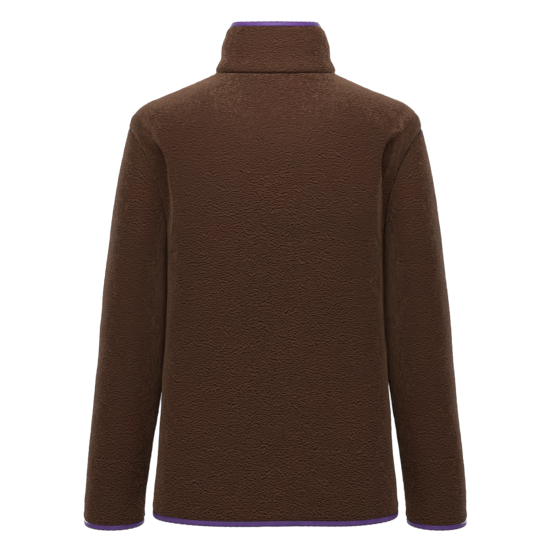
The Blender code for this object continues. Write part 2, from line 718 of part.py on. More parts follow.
def add_slider(place, lean, material, collection, guides):
    """Two plates joined by a post between the tapes, with a lug in front that holds the pull tab."""
    half_wide, half_tall = SLIDER_WIDTH / 2, SLIDER_HEIGHT / 2
    face = SLIDER_SLOT / 2
    front = box("zip_slider", (-half_wide, -face - PLATE, -half_tall), (half_wide, -face, half_tall))
    slider = add_object("zip_slider", front, material, collection)
    slider.location = place
    slider.rotation_euler = (lean, 0, 0)
    bpy.context.view_layer.update()
    rear = box("rear", (-half_wide, face, -half_tall), (half_wide, face + PLATE, half_tall))
    into_plate = face + PLATE / 2
    post = box("post", (-POST_HALF, -into_plate, POST_FOOT), (POST_HALF, into_plate, half_tall - POST_INSET))
    lug_front = -face - PLATE - EYE_OUT - EYE_RADIUS - EYE_WALL
    lug = box("lug", (-LUG_HALF, lug_front, -LUG_TALL), (LUG_HALF, -into_plate, LUG_TALL))
    combine(slider, post, "UNION", guides)
    combine(slider, rear, "UNION", guides)
    combine(slider, lug, "UNION", guides)
    bore = eye_bore(EYE_RADIUS, 2 * LUG_HALF)
    bore.transform(Matrix.Translation((0, -face - PLATE - EYE_OUT, 0)))
    combine(slider, bore, "DIFFERENCE", guides)


def add_pull(place, lean, material, collection, guides):
    """A flat tab that hangs plumb from the slider's lug by the bar over its slot."""
    hinge = Vector(place) + Matrix.Rotation(lean, 3, "X") @ Vector((0, -SLIDER_SLOT / 2 - PLATE - EYE_OUT, 0))
    half_thick, half_wide = PULL_THICK / 2, PULL_WIDTH / 2
    plate = box(
        "zip_pull", (-half_wide, -half_thick, half_thick - PULL_LENGTH), (half_wide, half_thick, half_thick)
    )
    pull = add_object("zip_pull", plate, material, collection)
    pull.location = hinge
    bpy.context.view_layer.update()
    slot_foot = -half_thick - SLOT_LENGTH
    slot = box("slot", (-SLOT_HALF, -PULL_THICK, slot_foot), (SLOT_HALF, PULL_THICK, -half_thick))
    combine(pull, slot, "DIFFERENCE", guides)


def main():
    clear_scene()
    jacket = bpy.data.collections.new("fleece_jacket")
    bpy.context.scene.collection.children.link(jacket)
    fleece = make_material("fleece", FLEECE, 0.95)
    fleece_dark = make_material("fleece_sleeves", FLEECE_DARK, 0.95)
    purple = make_material("binding", PURPLE, 0.55)
    tape = make_material("zip_tape", TAPE_BROWN, 0.8)
    metal = make_material("zip_metal", METAL_BROWN, 0.4, 0.6)

    half = panel_columns()
    rows = panel_rows()
    whole = [-u for u in half[:0:-1]] + half
    back = panel_shape(1, 0)
    left = panel_shape(-1, 1)
    right = panel_shape(-1, -1)
    cut_cloth("back", whole, rows, back, fleece, jacket)
    cut_cloth("front_left", half, rows, left, fleece, jacket)
    cut_cloth("front_right", half, rows, right, fleece, jacket)

    seam_rows = len([row for row in rows if row >= underarm_row() - 1e-9]) - 1
    round_arm = [k / (2 * seam_rows) for k in range(2 * seam_rows + 1)]
    down_arm = [CUFF_ROW * (k / SLEEVE_ROWS) ** SLEEVE_SPREAD for k in range(SLEEVE_ROWS + 1)] + [1.0]
    rises = [RIM_ROW * k / COLLAR_ROWS for k in range(COLLAR_ROWS + 1)] + [1.0]
    for name, side in (("left", 1), ("right", -1)):
        sleeve = sleeve_shape(side)
        cut_cloth(f"sleeve_{name}", round_arm, down_arm, sleeve, fleece_dark, jacket)
        cuff = edge_lines(sleeve, np.array(round_arm), 1.0, CUFF_ROW)
        bind(f"cuff_binding_{name}", cuff, purple, jacket)

    neck_turns = [math.pi / 2 * k / NECK_COLUMNS for k in range(NECK_COLUMNS)]
    start = opening_turn()
    front_step = (math.pi / 2 - start) / NECK_COLUMNS
    front_turns = [math.pi - start - front_step * k for k in range(NECK_COLUMNS + 1)]
    turns = neck_turns + front_turns[::-1]
    turns = [-turn for turn in turns[:0:-1]] + turns
    cut_cloth("collar", turns, rises, collar_shape, fleece, jacket)
    rim = edge_lines(collar_shape, np.array(turns), 1.0, RIM_ROW)
    bind("collar_binding", rim, purple, jacket)

    across = np.array(half)
    hems = [
        edge_lines(right, across[:-1], 0.0, HEM_ROW),
        edge_lines(back, np.array(whole), 0.0, HEM_ROW),
        edge_lines(left, across[-2::-1], 0.0, HEM_ROW),
    ]
    hem = [np.concatenate([part[k] for part in hems]) for k in range(4)]
    bind("hem_binding", hem, purple, jacket)

    steps = zip_steps()
    cut_cloth("zip_tape_left", [0, 1], steps, tape_shape(1), tape, jacket)
    cut_cloth("zip_tape_right", [0, 1], steps, tape_shape(-1), tape, jacket)
    guides = bpy.data.collections.new("guides")
    bpy.context.scene.collection.children.link(guides)
    place, lean = zip_place()
    add_slider(place, lean, metal, jacket, guides)
    add_pull(place, lean, metal, jacket, guides)
    foot = front_line(0.0, np.array([0.0]), np.array([TAPE_DEPTH]))[0]
    top = front_line(0.0, np.array([TAPE_BOTTOM]), np.array([TAPE_DEPTH]))[0]
    zip_box = box(
        "zip_box",
        (-ZIP_BOX_HALF, foot[1] - ZIP_BOX_WALL / 2, foot[2]),
        (ZIP_BOX_HALF, foot[1] + ZIP_BOX_WALL / 2, top[2] - GAP),
    )
    add_object("zip_box", zip_box, metal, jacket)
    teeth_steps = [step for step in steps if step < 1 + TEETH_TOP] + [1 + TEETH_TOP]
    cut_cloth("zip_teeth", [0, 1], teeth_steps, teeth_shape, metal, jacket)


main()
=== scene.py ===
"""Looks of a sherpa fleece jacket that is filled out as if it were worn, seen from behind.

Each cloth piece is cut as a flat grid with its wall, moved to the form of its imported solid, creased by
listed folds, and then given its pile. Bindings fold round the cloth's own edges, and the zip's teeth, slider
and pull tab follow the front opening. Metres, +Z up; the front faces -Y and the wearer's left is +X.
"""

import math

import bpy
import numpy as np
from mathutils import Matrix, Vector


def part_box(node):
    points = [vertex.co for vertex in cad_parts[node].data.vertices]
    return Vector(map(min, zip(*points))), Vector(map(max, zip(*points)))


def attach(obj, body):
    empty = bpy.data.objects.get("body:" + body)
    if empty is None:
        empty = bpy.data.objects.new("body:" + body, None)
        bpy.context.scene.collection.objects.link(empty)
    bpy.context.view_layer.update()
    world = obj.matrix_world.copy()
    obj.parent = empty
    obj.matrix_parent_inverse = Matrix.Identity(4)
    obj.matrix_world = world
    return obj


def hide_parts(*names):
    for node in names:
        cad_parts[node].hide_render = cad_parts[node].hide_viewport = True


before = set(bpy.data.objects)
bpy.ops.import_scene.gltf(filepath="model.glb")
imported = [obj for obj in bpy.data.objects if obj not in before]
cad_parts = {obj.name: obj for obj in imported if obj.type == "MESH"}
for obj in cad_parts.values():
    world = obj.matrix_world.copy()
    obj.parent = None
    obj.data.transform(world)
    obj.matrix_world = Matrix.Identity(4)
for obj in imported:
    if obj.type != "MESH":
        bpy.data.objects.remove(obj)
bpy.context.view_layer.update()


def table(columns, *rows):
    """Rows of values under the columns that are named in one string."""
    return [dict(zip(columns.split(), row)) for row in rows]


# ---------------------------------------------------------------- sizes of the form

WALL = 0.004
GAP = 0.0003
NECK_GAP = 0.0006
GRID = 0.0029  # the cloth's cells
COLUMN_ROWS = (0.40, 0.72, 0.80)

UNDERARM = -0.285
SHOULDER_TIP = -0.075
HEM_SIDE = -0.6460
HEM_MIDDLE = -0.6515
HEM_CURVE = 7.0
CUFF_SIDE = -0.6690
CUFF_MIDDLE = -0.6730
CUFF_CURVE = 0.8

NECK_HALF_WIDTH = 0.090
NECK_BACK = 0.075
NECK_FRONT = 0.078
NECK_POINT = 0.0065
NECK_DROP = 0.080
NECK_CURVE = 1.6
COLLAR_BACK = 0.0760
RIM_RISE = (0.0063, 0.0120, -0.0173)
COLLAR_FRONT_UPRIGHT = 0.6
NECK_LEAN = math.radians(40)

SQUARENESS = 0.50
ARMHOLE_DEPTH = 0.067
UNDERARM_ROUND = 0.080
SHOULDER_ROUND = 0.075
NECK_ROUND = 0.055
NECK_SIDE = 0.055
NECK_BLEND = 0.060
TOP_BLEND = 0.120
NECK_SHARE = 0.36

SLEEVE_SETTLE = 0.55
SLEEVE_MEET = 0.22

OPENING_HALF = 0.006
TAPE_INNER = 0.0009
TAPE_OUTER = 0.0165
TAPE_WALL = 0.0008
TAPE_DEPTH = WALL + 3 * GAP + TAPE_WALL / 2
TAPE_BOTTOM = 0.012
TAPE_TOP = 1.90
TEETH_TOP = 0.80
BODY_RADIUS = 0.30
NECK_RADIUS = 0.070
NECK_FROM = 0.75  # the share of the front's opening at which it starts to bend as the neck does
NECK_EASE = 0.2

# The body's ring at each height: half its width, and how far it reaches back and front.
TORSO = table(
    "height half_width back front",
    (0.010, 0.2200, 0.104, 0.084),
    (-0.075, 0.2050, 0.119, 0.108),
    (-0.160, 0.1800, 0.129, 0.128),
    (-0.285, 0.1610, 0.126, 0.136),
    (-0.400, 0.1645, 0.118, 0.134),
    (-0.480, 0.1692, 0.119, 0.133),
    (-0.570, 0.1758, 0.126, 0.135),
    (-0.625, 0.1815, 0.132, 0.138),
    (-0.650, 0.1820, 0.132, 0.138),
)

# The shoulder seam, from the neck point to the tip.
SHOULDER = table(
    "across height",
    (0.0900, 0.0065), (0.1090, -0.0040), (0.1400, -0.0165), (0.1730, -0.0298),
    (0.1960, -0.0400), (0.2090, -0.0515), (0.2165, -0.0630), (0.2195, -0.0750),
)

# The armhole seam, seen from behind.
ARMHOLE = table(
    "height across",
    (-0.075, 0.2195), (-0.094, 0.2067), (-0.113, 0.1937), (-0.156, 0.1740),
    (-0.200, 0.1630), (-0.285, 0.1612),
)

# A sleeve's ring at each height: its outer and inner side, half its size from front to back, and how far
# its middle lies in front of the shoulder.
SLEEVE = table(
    "height outer inner depth forward",
    (-0.0750, 0.2195, 0.1500, 0.060, 0.000),
    (-0.1075, 0.2268, 0.1490, 0.069, 0.000),
    (-0.1525, 0.2355, 0.1510, 0.074, 0.000),
    (-0.2125, 0.2447, 0.1560, 0.078, 0.000),
    (-0.2850, 0.2540, 0.1606, 0.078, 0.002),
    (-0.3600, 0.2620, 0.1618, 0.074, 0.005),
    (-0.4400, 0.2690, 0.1682, 0.069, 0.009),
    (-0.4825, 0.2730, 0.1740, 0.066, 0.012),
    (-0.5425, 0.2800, 0.1838, 0.062, 0.016),
    (-0.6025, 0.2858, 0.1928, 0.058, 0.021),
    (-0.6325, 0.2884, 0.1965, 0.056, 0.024),
    (-0.6800, 0.2895, 0.2000, 0.054, 0.028),
)

# The collar from its seam to its rim: how far it stands inside the neck ring, and how much more at its
# sides and at the back.
COLLAR = table(
    "rise inward side back",
    (0.00, 0.0000, 0.0000, 0.0000),
    (0.10, 0.0008, 0.0000, 0.0006),
    (0.28, 0.0062, 0.0004, 0.0026),
    (0.60, 0.0068, 0.0024, 0.0060),
    (0.78, 0.0077, 0.0064, 0.0078),
    (0.88, 0.0085, 0.0098, 0.0088),
    (1.00, 0.0095, 0.0140, 0.0100),
)

# ---------------------------------------------------------------- folds

# The crest of each pleat beside an armhole, from its top down.
PLEAT_BACK_LEFT = table(
    "height across",
    (-0.085, 0.1950), (-0.104, 0.1710), (-0.124, 0.1605), (-0.146, 0.1563),
    (-0.285, 0.1563), (-0.360, 0.1580), (-0.430, 0.1610),
)
PLEAT_BACK_RIGHT = table(
    "height across",
    (-0.084, 0.1780), (-0.098, 0.1640), (-0.121, 0.1552), (-0.160, 0.1540),
    (-0.285, 0.1553), (-0.360, 0.1575), (-0.430, 0.1610),
)
PLEAT_FRONT_LEFT = table(
    "height across",
    (-0.096, 0.1840), (-0.112, 0.1660), (-0.150, 0.1560), (-0.320, 0.1570),
)
PLEAT_FRONT_RIGHT = table(
    "height across",
    (-0.102, 0.1820), (-0.118, 0.1640), (-0.160, 0.1570), (-0.320, 0.1580),
)
PLEATS = table(
    "face side crest start depth steep soft tuck",
    (1, 1, PLEAT_BACK_LEFT, 0.034, 0.022, 0.0055, 0.0160, 0.0050),
    (1, -1, PLEAT_BACK_RIGHT, 0.026, 0.027, 0.0040, 0.0120, 0.0055),
    (-1, 1, PLEAT_FRONT_LEFT, 0.030, 0.018, 0.0060, 0.0140, 0.0050),
    (-1, -1, PLEAT_FRONT_RIGHT, 0.026, 0.016, 0.0070, 0.0140, 0.0050),
)
PLEAT_END = 0.060  # the height in which a pleat ends
PLEAT_FROM = 0.012  # a pleat starts where the body is this deep
PLEAT_EASE = 0.045
TUCK_REACH = 0.010
TUCK_EASE = 0.006

# Soft troughs (depth above 0) and ridges (below 0) in the body: the middle, the length and width of each,
# how far its length leans from upright, and its depth.
BODY_CREASES = table(
    "face across height long wide lean depth",
    (1, 0.105, -0.060, 0.055, 0.016, 62, 0.0016),
    (1, -0.112, -0.066, 0.050, 0.014, -58, 0.0014),
    (1, 0.020, -0.330, 0.150, 0.040, 8, 0.0022),
    (1, -0.085, -0.430, 0.120, 0.034, -14, 0.0020),
    (1, 0.098, -0.500, 0.100, 0.030, 12, 0.0018),
    (1, -0.128, -0.590, 0.045, 0.018, -6, -0.0016),
    (-1, 0.070, -0.180, 0.120, 0.022, 20, 0.0030),
    (-1, -0.078, -0.200, 0.110, 0.024, -17, 0.0028),
    (-1, 0.052, -0.440, 0.140, 0.026, -7, 0.0030),
    (-1, -0.060, -0.500, 0.120, 0.024, 9, 0.0026),
    (-1, 0.122, -0.560, 0.080, 0.020, 6, -0.0022),
    (-1, -0.120, -0.380, 0.100, 0.022, -10, 0.0024),
)

# The same round each sleeve: turn is 0 outwards, 90 backwards, and sizes are measured on the cloth.
SLEEVE_CREASES = table(
    "side turn height long wide lean depth",
    (1, 78, -0.250, 0.070, 0.016, 24, 0.0022),
    (1, 100, -0.560, 0.060, 0.024, 30, 0.0030),
    (1, 60, -0.430, 0.055, 0.018, 70, 0.0018),
    (1, -60, -0.300, 0.060, 0.018, 60, 0.0040),
    (1, -112, -0.372, 0.050, 0.013, 82, 0.0055),
    (1, -75, -0.425, 0.052, 0.012, 97, 0.0046),
    (1, -95, -0.500, 0.060, 0.018, 118, 0.0030),
    (-1, 84, -0.290, 0.080, 0.018, -18, 0.0022),
    (-1, 96, -0.520, 0.070, 0.022, -32, 0.0032),
    (-1, 58, -0.400, 0.050, 0.016, -64, 0.0016),
    (-1, -66, -0.318, 0.056, 0.017, -66, 0.0038),
    (-1, -104, -0.388, 0.048, 0.013, -84, 0.0052),
    (-1, -80, -0.446, 0.050, 0.013, -100, 0.0042),
)

# The hem hangs in slow waves: how deep they are down and outwards, and how long.
HEM_WAVE_DOWN = 0.0010
HEM_WAVE_OUT = 0.0022
HEM_WAVE_LENGTH = 0.171
HEM_WAVE_START = -0.012
HEM_WAVE_FADE = 7.0
HEM_WAVE_OUT_PACE = 1.3  # outward waves to each one downwards
HEM_WAVE_EASE = 0.06
CREASE_EASE = 0.05

# How the cloth dips at a seam, with a line of painted shade in its dip, and how its pile is pressed flat
# under a binding and swells above it. At a hidden seam a neighbour's pile covers most of the dip and of its
# painted shade.
SEAM_DIP = {"seam": 0.0018, "hidden seam": 0.0008}
SEAM_REACH = 0.0028
SEAM_SHADE = {"seam": 1.0, "hidden seam": 0.25}
SEAM_SHADE_REACH = 0.0014  # the half width of the dark line in a seam
BOUND_HALF = 0.0011  # the half width of the line of painted shade in a seam
BOUND_REACH = 0.0056
BOUND_EASE = 0.0045
SWELL = 0.0011
SWELL_FROM = 0.0115
SWELL_REACH = 0.0060
BARE = {"bound": BOUND_REACH + 0.001, "seam": 0.0008, "hidden seam": 0.0008}  # no pile this near an edge
BARE_EASE = 0.004
SEAM_LINES = (0.0007, 0.0015, 0.0026)  # lines of the grid beside a seam
LINE_ROOM = 0.0008

BINDING_HEIGHT = 0.0060
BINDING_WALL = 0.0009
BINDING_AIR = 0.00015
BINDING_ROUND = 8  # steps round the fold
PUCKER = 0.00022
PUCKER_LENGTH = 0.0085
BORDER_PULL = 0.00025  # how much tighter a binding's borders sit

# The studio: an even light all round, and softboxes that are each aimed at a place on the jacket. Spread is
# the angle of a softbox's beam in degrees.
AMBIENT = 0.60
MIDDLE = (0.0, 0.0, -0.30)
NECK = (0.0, 0.06, 0.05)
UPPER = (0.0, 0.0, -0.05)
LIGHTS = table(
    "name place aim size power spread",
    ("key_left", (1.2, 1.60, 0.35), UPPER, (0.8, 0.8), 1.9, 100),
    ("key_right", (-1.2, 1.60, 0.35), UPPER, (0.8, 0.8), 0.6, 100),
    ("top", (0.0, 1.10, 0.55), (0.0, 0.0, -0.10), (0.7, 0.4), 9.5, 180),
    ("collar", (0.0, 1.35, 0.20), NECK, (0.35, 0.20), 0.20, 22),
    ("over", (0.0, 0.50, 1.30), (0.0, 0.0, -0.10), (1.0, 0.6), 0.8, 90),
    ("rim_left", (1.5, -2.0, 0.1), MIDDLE, (0.7, 1.2), 4, 50),
    ("rim_right", (-1.5, -2.0, 0.1), MIDDLE, (0.7, 1.2), 4, 50),
    ("rim_top", (0.0, -1.6, 1.1), UPPER, (1.0, 0.4), 2, 50),
)

# ---------------------------------------------------------------- small helpers

ONLY_XY = np.array([1.0, 1.0, 0.0])
ONLY_XZ = np.array([1.0, 0.0, 1.0])
ONLY_YZ = np.array([0.0, 1.0, 1.0])
FACING_STEP = 0.004
SLOPE_STEP = 0.002
TURN_STEP = 0.02
LINE_STEP = 0.01
MIDDLE_HALF = 0.001  # nearer the middle than this, a point is on it
TINY = 1e-6
FINE_STEPS = 2000


def read(curve, key, column, at):
    """A table's column, read smoothly at any value of its key."""
    rows = sorted(curve, key=lambda row: row[key])
    keys = np.array([row[key] for row in rows])
    values = np.array([row[column] for row in rows])
    slopes = np.gradient(values, keys)
    at = np.clip(at, keys[0], keys[-1])
    low = np.clip(np.searchsorted(keys, at) - 1, 0, len(keys) - 2)
    span = keys[low + 1] - keys[low]
    t = (at - keys[low]) / span
    rise = values[low + 1] - values[low]
    start = slopes[low] * span
    end = slopes[low + 1] * span
    return values[low] + t * (start + t * (3 * rise - 2 * start - end + t * (start + end - 2 * rise)))


def ease(t):
    t = np.clip(t, 0.0, 1.0)
    return t * t * (3 - 2 * t)


def quarter(t):
    """Rises from 0 to 1 as a quarter circle does, and stays at 1."""
    t = np.clip(t, 0.0, 1.0)
    return np.sqrt(1 - (1 - t) ** 2)


def unit(vectors):
    return vectors / np.maximum(np.linalg.norm(vectors, axis=-1, keepdims=True), 1e-12)


def stack(x, y, z):
    return np.stack(np.broadcast_arrays(x, y, z), axis=-1)


def run_length(points):
    """The length along a line of points, at each of them."""
    return np.concatenate([[0], np.cumsum(np.linalg.norm(np.diff(points, axis=0), axis=1))])


def facing(place, u, v, outside):
    """The direction that the cloth faces, from the points just beside each point."""
    along = place(u + FACING_STEP, v) - place(u - FACING_STEP, v)
    up = place(u, v + FACING_STEP) - place(u, v - FACING_STEP)
    return unit(np.cross(along, up)) * outside


def crease(row, x, z):
    """How deep a soft trough or ridge is at a place x, z from its middle, measured on the cloth."""
    lean = math.radians(row["lean"])
    along = z * math.cos(lean) + x * math.sin(lean)
    beside = x * math.cos(lean) - z * math.sin(lean)
    return row["depth"] * np.exp(-((along / row["long"]) ** 2) - (beside / row["wide"]) ** 2)


# ---------------------------------------------------------------- body form


def underarm_row():
    return (UNDERARM - HEM_SIDE) / (SHOULDER_TIP - HEM_SIDE)


def seam_row(share):
    """The row that meets the armhole at a share of its seam, from the underarm (0) to the tip (1). Of ten
    steps the first four turn out of the underarm, and the last four turn over the shoulder."""
    whole = SHOULDER_TIP - HEM_SIDE
    low, high = UNDERARM_ROUND / whole, SHOULDER_ROUND / whole
    foot, top = underarm_row() + low, 1 - high
    steps = np.clip(share, 0, 1) * 10
    round_low = underarm_row() + low * (1 - np.cos(math.pi / 2 * np.clip(steps / 4, 0, 1)))
    straight = foot + (top - foot) * (steps - 4) / 2
    round_high = 1 - high * (1 - np.sin(math.pi / 2 * np.clip((steps - 6) / 4, 0, 1)))
    return np.where(steps < 4, round_low, np.where(steps < 6, straight, round_high))


def panel_edge(v):
    """The body's edge at a row: its height, how far across and how deep. Below the armhole it is the side
    seam, and above it is the armhole's seam."""
    height = HEM_SIDE + (SHOULDER_TIP - HEM_SIDE) * v
    open_part = height > UNDERARM
    armhole = read(ARMHOLE, "height", "across", height)
    across = np.where(open_part, armhole, read(TORSO, "height", "half_width", height))
    return height, across, ARMHOLE_DEPTH * quarter((height - UNDERARM) / UNDERARM_ROUND)


def shoulder_path(share):
    """The shoulder seam at a share of its length, from the neck point (0) to the tip (1)."""
    across = np.linspace(SHOULDER[0]["across"], SHOULDER[-1]["across"], 200)
    height = read(SHOULDER, "across", "height", across)
    length = np.concatenate([[0], np.cumsum(np.hypot(np.diff(across), np.diff(height)))])
    at = np.clip(share, 0, 1) * length[-1]
    return np.interp(at, length, across), np.interp(at, length, height)


def neck_ring(turn):
    """The neck seam, from the centre of the back (0) over the side (90 degrees) to the front (180)."""
    turn = np.abs(turn)
    front = turn > math.pi / 2
    deep = np.where(front, NECK_FRONT, NECK_BACK) * np.cos(turn)
    fall = np.where(front, NECK_DROP, NECK_POINT) * np.abs(np.cos(turn)) ** NECK_CURVE
    return NECK_HALF_WIDTH * np.sin(turn), deep, NECK_POINT - fall


def opening_turn():
    return math.asin(OPENING_HALF / NECK_HALF_WIDTH)


def panel_top(u, face):
    """The panel's top edge: the neck seam, then the shoulder seam. u runs from 0 to 1."""
    in_neck = np.clip(u / NECK_SHARE, 0, 1)
    start = 0.0 if face > 0 else opening_turn()
    turn = start + (math.pi / 2 - start) * in_neck
    neck = neck_ring(turn if face > 0 else math.pi - turn)
    shoulder = shoulder_path((u - NECK_SHARE) / (1 - NECK_SHARE))
    on_neck = u < NECK_SHARE
    across = np.where(on_neck, neck[0], shoulder[0])
    return across, np.where(on_neck, neck[1], 0.0), np.where(on_neck, neck[2], shoulder[1])


def hem_height(u):
    return HEM_MIDDLE + (HEM_SIDE - HEM_MIDDLE) * np.abs(u) ** HEM_CURVE


def pleat(face, side, across, height, deep):
    """How far the body is sunk past the crest of the pleat beside its armhole, and how far tucked under."""
    sunk, tucked = np.zeros_like(across), np.zeros_like(across)
    for row in PLEATS:
        if row["face"] != face or row["side"] != side:
            continue
        crest = row["crest"]
        past = across - read(crest, "height", "across", height)
        fade = ease((crest[0]["height"] - height) / row["start"])
        fade = fade * ease((height - crest[-1]["height"]) / PLEAT_END)
        drop = ease(past / row["steep"]) * fade * ease((deep - PLEAT_FROM) / PLEAT_EASE)
        rest = np.clip(past - row["steep"], 0, None)
        sunk += row["depth"] * drop * np.exp(-((rest / row["soft"]) ** 2))
        tucked += row["tuck"] * drop * np.exp(-((rest / TUCK_REACH) ** 2))
    return sunk, tucked


def panel_point(u, v, face, side):
    """A point on the outside of the body. face is +1 for the back and -1 for a front, side is +1 for the
    wearer's left, u runs from the middle to the side seam and v from the hem to the shoulder."""
    u, v = np.abs(u), np.asarray(v, float)
    edge_height, edge_across, edge_deep = panel_edge(v)
    depth_column = "back" if face > 0 else "front"
    edge_reach = read(TORSO, "height", depth_column, edge_height)
    turn = np.arccos((edge_deep / edge_reach) ** (1 / SQUARENESS))
    top_across, top_deep, top_height = panel_top(u, face)
    height = hem_height(u) + (top_height - hem_height(u)) * v
    below = top_height - height

    start = 0.0 if face > 0 else OPENING_HALF
    plain = start + (edge_across - start) * np.sin(u * turn) / np.sin(turn)
    topped = edge_across * top_across / SHOULDER[-1]["across"]
    across = plain + (topped - plain) * np.clip(1 - below / TOP_BLEND, 0, 1) ** 2
    angle = np.arcsin(np.clip(across / edge_across, 0, 1) * np.sin(turn))
    deep = read(TORSO, "height", depth_column, height) * np.cos(angle) ** SQUARENESS

    necked = 1 - ease((top_across - NECK_SIDE) / NECK_BLEND)
    round_over = SHOULDER_ROUND + NECK_ROUND * necked
    rise = quarter(below / round_over) ** (1 + necked)
    deep = np.abs(top_deep) + (deep - np.abs(top_deep)) * rise
    sunk, tucked = pleat(face, side, across, height, deep)
    deep = deep - sunk
    across = across - tucked * ease((edge_across - across) / TUCK_EASE)
    settled = ease(below / CREASE_EASE) * np.clip(deep / CREASE_EASE, 0, 1)
    for row in BODY_CREASES:
        if row["face"] == face:
            deep -= crease(row, side * across - row["across"], height - row["height"]) * settled
    near_hem = np.clip(1 - v, 0, 1) ** HEM_WAVE_FADE
    wave = 2 * math.pi * (side * across - HEM_WAVE_START) / HEM_WAVE_LENGTH
    height = height + HEM_WAVE_DOWN * np.cos(wave) * near_hem
    flat = np.clip(deep / HEM_WAVE_EASE, 0, 1)
    deep = deep + HEM_WAVE_OUT * np.sin(wave * HEM_WAVE_OUT_PACE + face) * near_hem * flat
    return stack(side * across, face * deep, height)


def armhole_frame(v, face, side):
    """At the armhole seam: the way the wall's thickness points, and the way across the seam."""
    height, _, _ = panel_edge(v)
    above = np.minimum(height + SLOPE_STEP, SHOULDER_TIP)
    below = np.maximum(height - SLOPE_STEP, UNDERARM)
    rise = read(ARMHOLE, "height", "across", above) - read(ARMHOLE, "height", "across", below)
    slope = rise / (above - below)
    across = unit(stack(side * np.ones_like(slope), 0.0, -slope))
    low = panel_point(np.ones_like(v), np.clip(v - FACING_STEP, underarm_row(), 1), face, side)
    high = panel_point(np.ones_like(v), np.clip(v + FACING_STEP, underarm_row(), 1), face, side)
    along = unit(high - low)
    out = unit(np.cross(along, across)) * face * side
    out = np.where(np.isclose(v, 1.0)[:, None], unit(np.cross(across, [0.0, 1.0, 0.0])) * side, out)
    at_bottom = np.isclose(v, underarm_row())[:, None]
    return np.where(at_bottom, np.array([0.0, 0.0, -1.0]), out), across


def neck_frame(turn, side):
    """At the neck seam: the way the wall's thickness points, and the way up across the seam."""
    out = unit(stack(np.sin(turn) / NECK_HALF_WIDTH * side, np.cos(turn) / NECK_BACK, 0.0))
    lean = out * math.cos(NECK_LEAN) + np.array([0.0, 0.0, math.sin(NECK_LEAN)])
    ahead = neck_ring(np.minimum(turn + TURN_STEP, math.pi))
    behind = neck_ring(np.maximum(turn - TURN_STEP, 0.0))
    along = stack((ahead[0] - behind[0]) * side, ahead[1] - behind[1], ahead[2] - behind[2])
    at_middle = (turn < 0.03)[:, None]
    along = unit(np.where(at_middle, stack(side * np.ones_like(turn), 0.0, 0.0), along))
    lean = unit(lean - along * (lean * along).sum(1)[:, None])
    return lean, np.cross(along, lean) * np.broadcast_to(side, turn.shape)[:, None]


def panel_shape(face, side_of):
    """shape(u, v) for the back, whose u runs from -1 to 1, or for one front."""

    def shape(u, v):
        sides = np.where(u < 0, -1, 1) if side_of == 0 else np.full(len(u), side_of)
        size = np.abs(u)
        points, walls = np.zeros((len(u), 3)), np.zeros((len(u), 3))
        for side in (-1, 1):
            here = sides == side
            if not here.any():
                continue
            a, b = size[here], v[here]
            point = panel_point(a, b, face, side)
            inner = np.clip(a, 0.01, 0.985)
            lower = np.clip(b, 0.0, 0.985)
            wall = facing(lambda p, q: panel_point(p, q, face, side), inner, lower, -face * side)
            middle = (a < MIDDLE_HALF)[:, None] & (face > 0)
            wall = np.where(middle, unit(wall * ONLY_YZ), wall)
            edge = np.isclose(a, 1.0)
            below = edge & (b < underarm_row() - TINY)
            wall[below] = unit(wall[below] * ONLY_XZ)
            point[below, 1] += face * GAP / 2
            top = np.isclose(b, 1.0)
            on_shoulder = top & (a > NECK_SHARE + TINY)
            share = (a[on_shoulder] - NECK_SHARE) / (1 - NECK_SHARE)
            ahead = shoulder_path(share + LINE_STEP)
            behind = shoulder_path(share - LINE_STEP)
            ridge = unit(stack(ahead[0] - behind[0], 0.0, ahead[1] - behind[1]))
            wall[on_shoulder] = stack(-ridge[:, 2] * side, 0.0, ridge[:, 0])
            point[on_shoulder, 1] += face * GAP / 2
            on_armhole = edge & (b >= underarm_row() - TINY)
            out, across = armhole_frame(b, face, side)
            wall[on_armhole] = out[on_armhole]
            point[on_armhole] -= across[on_armhole] * GAP / 2
            on_neck = top & (a <= NECK_SHARE + TINY)
            start = 0.0 if face > 0 else opening_turn()
            turn = start + (math.pi / 2 - start) * a / NECK_SHARE
            out, up = neck_frame(turn if face > 0 else math.pi - turn, side)
            wall[on_neck] = out[on_neck]
            point[on_neck] -= up[on_neck] * NECK_GAP / 2
            points[here], walls[here] = point, wall
        return points, walls

    return shape


# ---------------------------------------------------------------- sleeves


def sleeve_sizes(height):
    """The sleeve's outer side, inner side, depth and way forward at a height."""
    return [read(SLEEVE, "height", column, height) for column in ("outer", "inner", "depth", "forward")]


def sleeve_rings(height, turn, side):
    """A point on the sleeve's ring at a height; turn is 0 outwards and 90 degrees backwards."""
    outer, inner, depth, forward = sleeve_sizes(height)
    dent = np.zeros_like(height)
    for row in SLEEVE_CREASES:
        if row["side"] != side:
            continue
        away = (np.degrees(turn) - row["turn"] + 180) % 360 - 180
        dent += crease(row, -np.radians(away) * depth, height - row["height"])
    half = (outer - inner) / 2
    middle = (outer + inner) / 2
    flank = half - dent * np.abs(np.cos(turn))
    return stack(side * (middle + flank * np.cos(turn)), (depth - dent) * np.sin(turn) - forward, height)


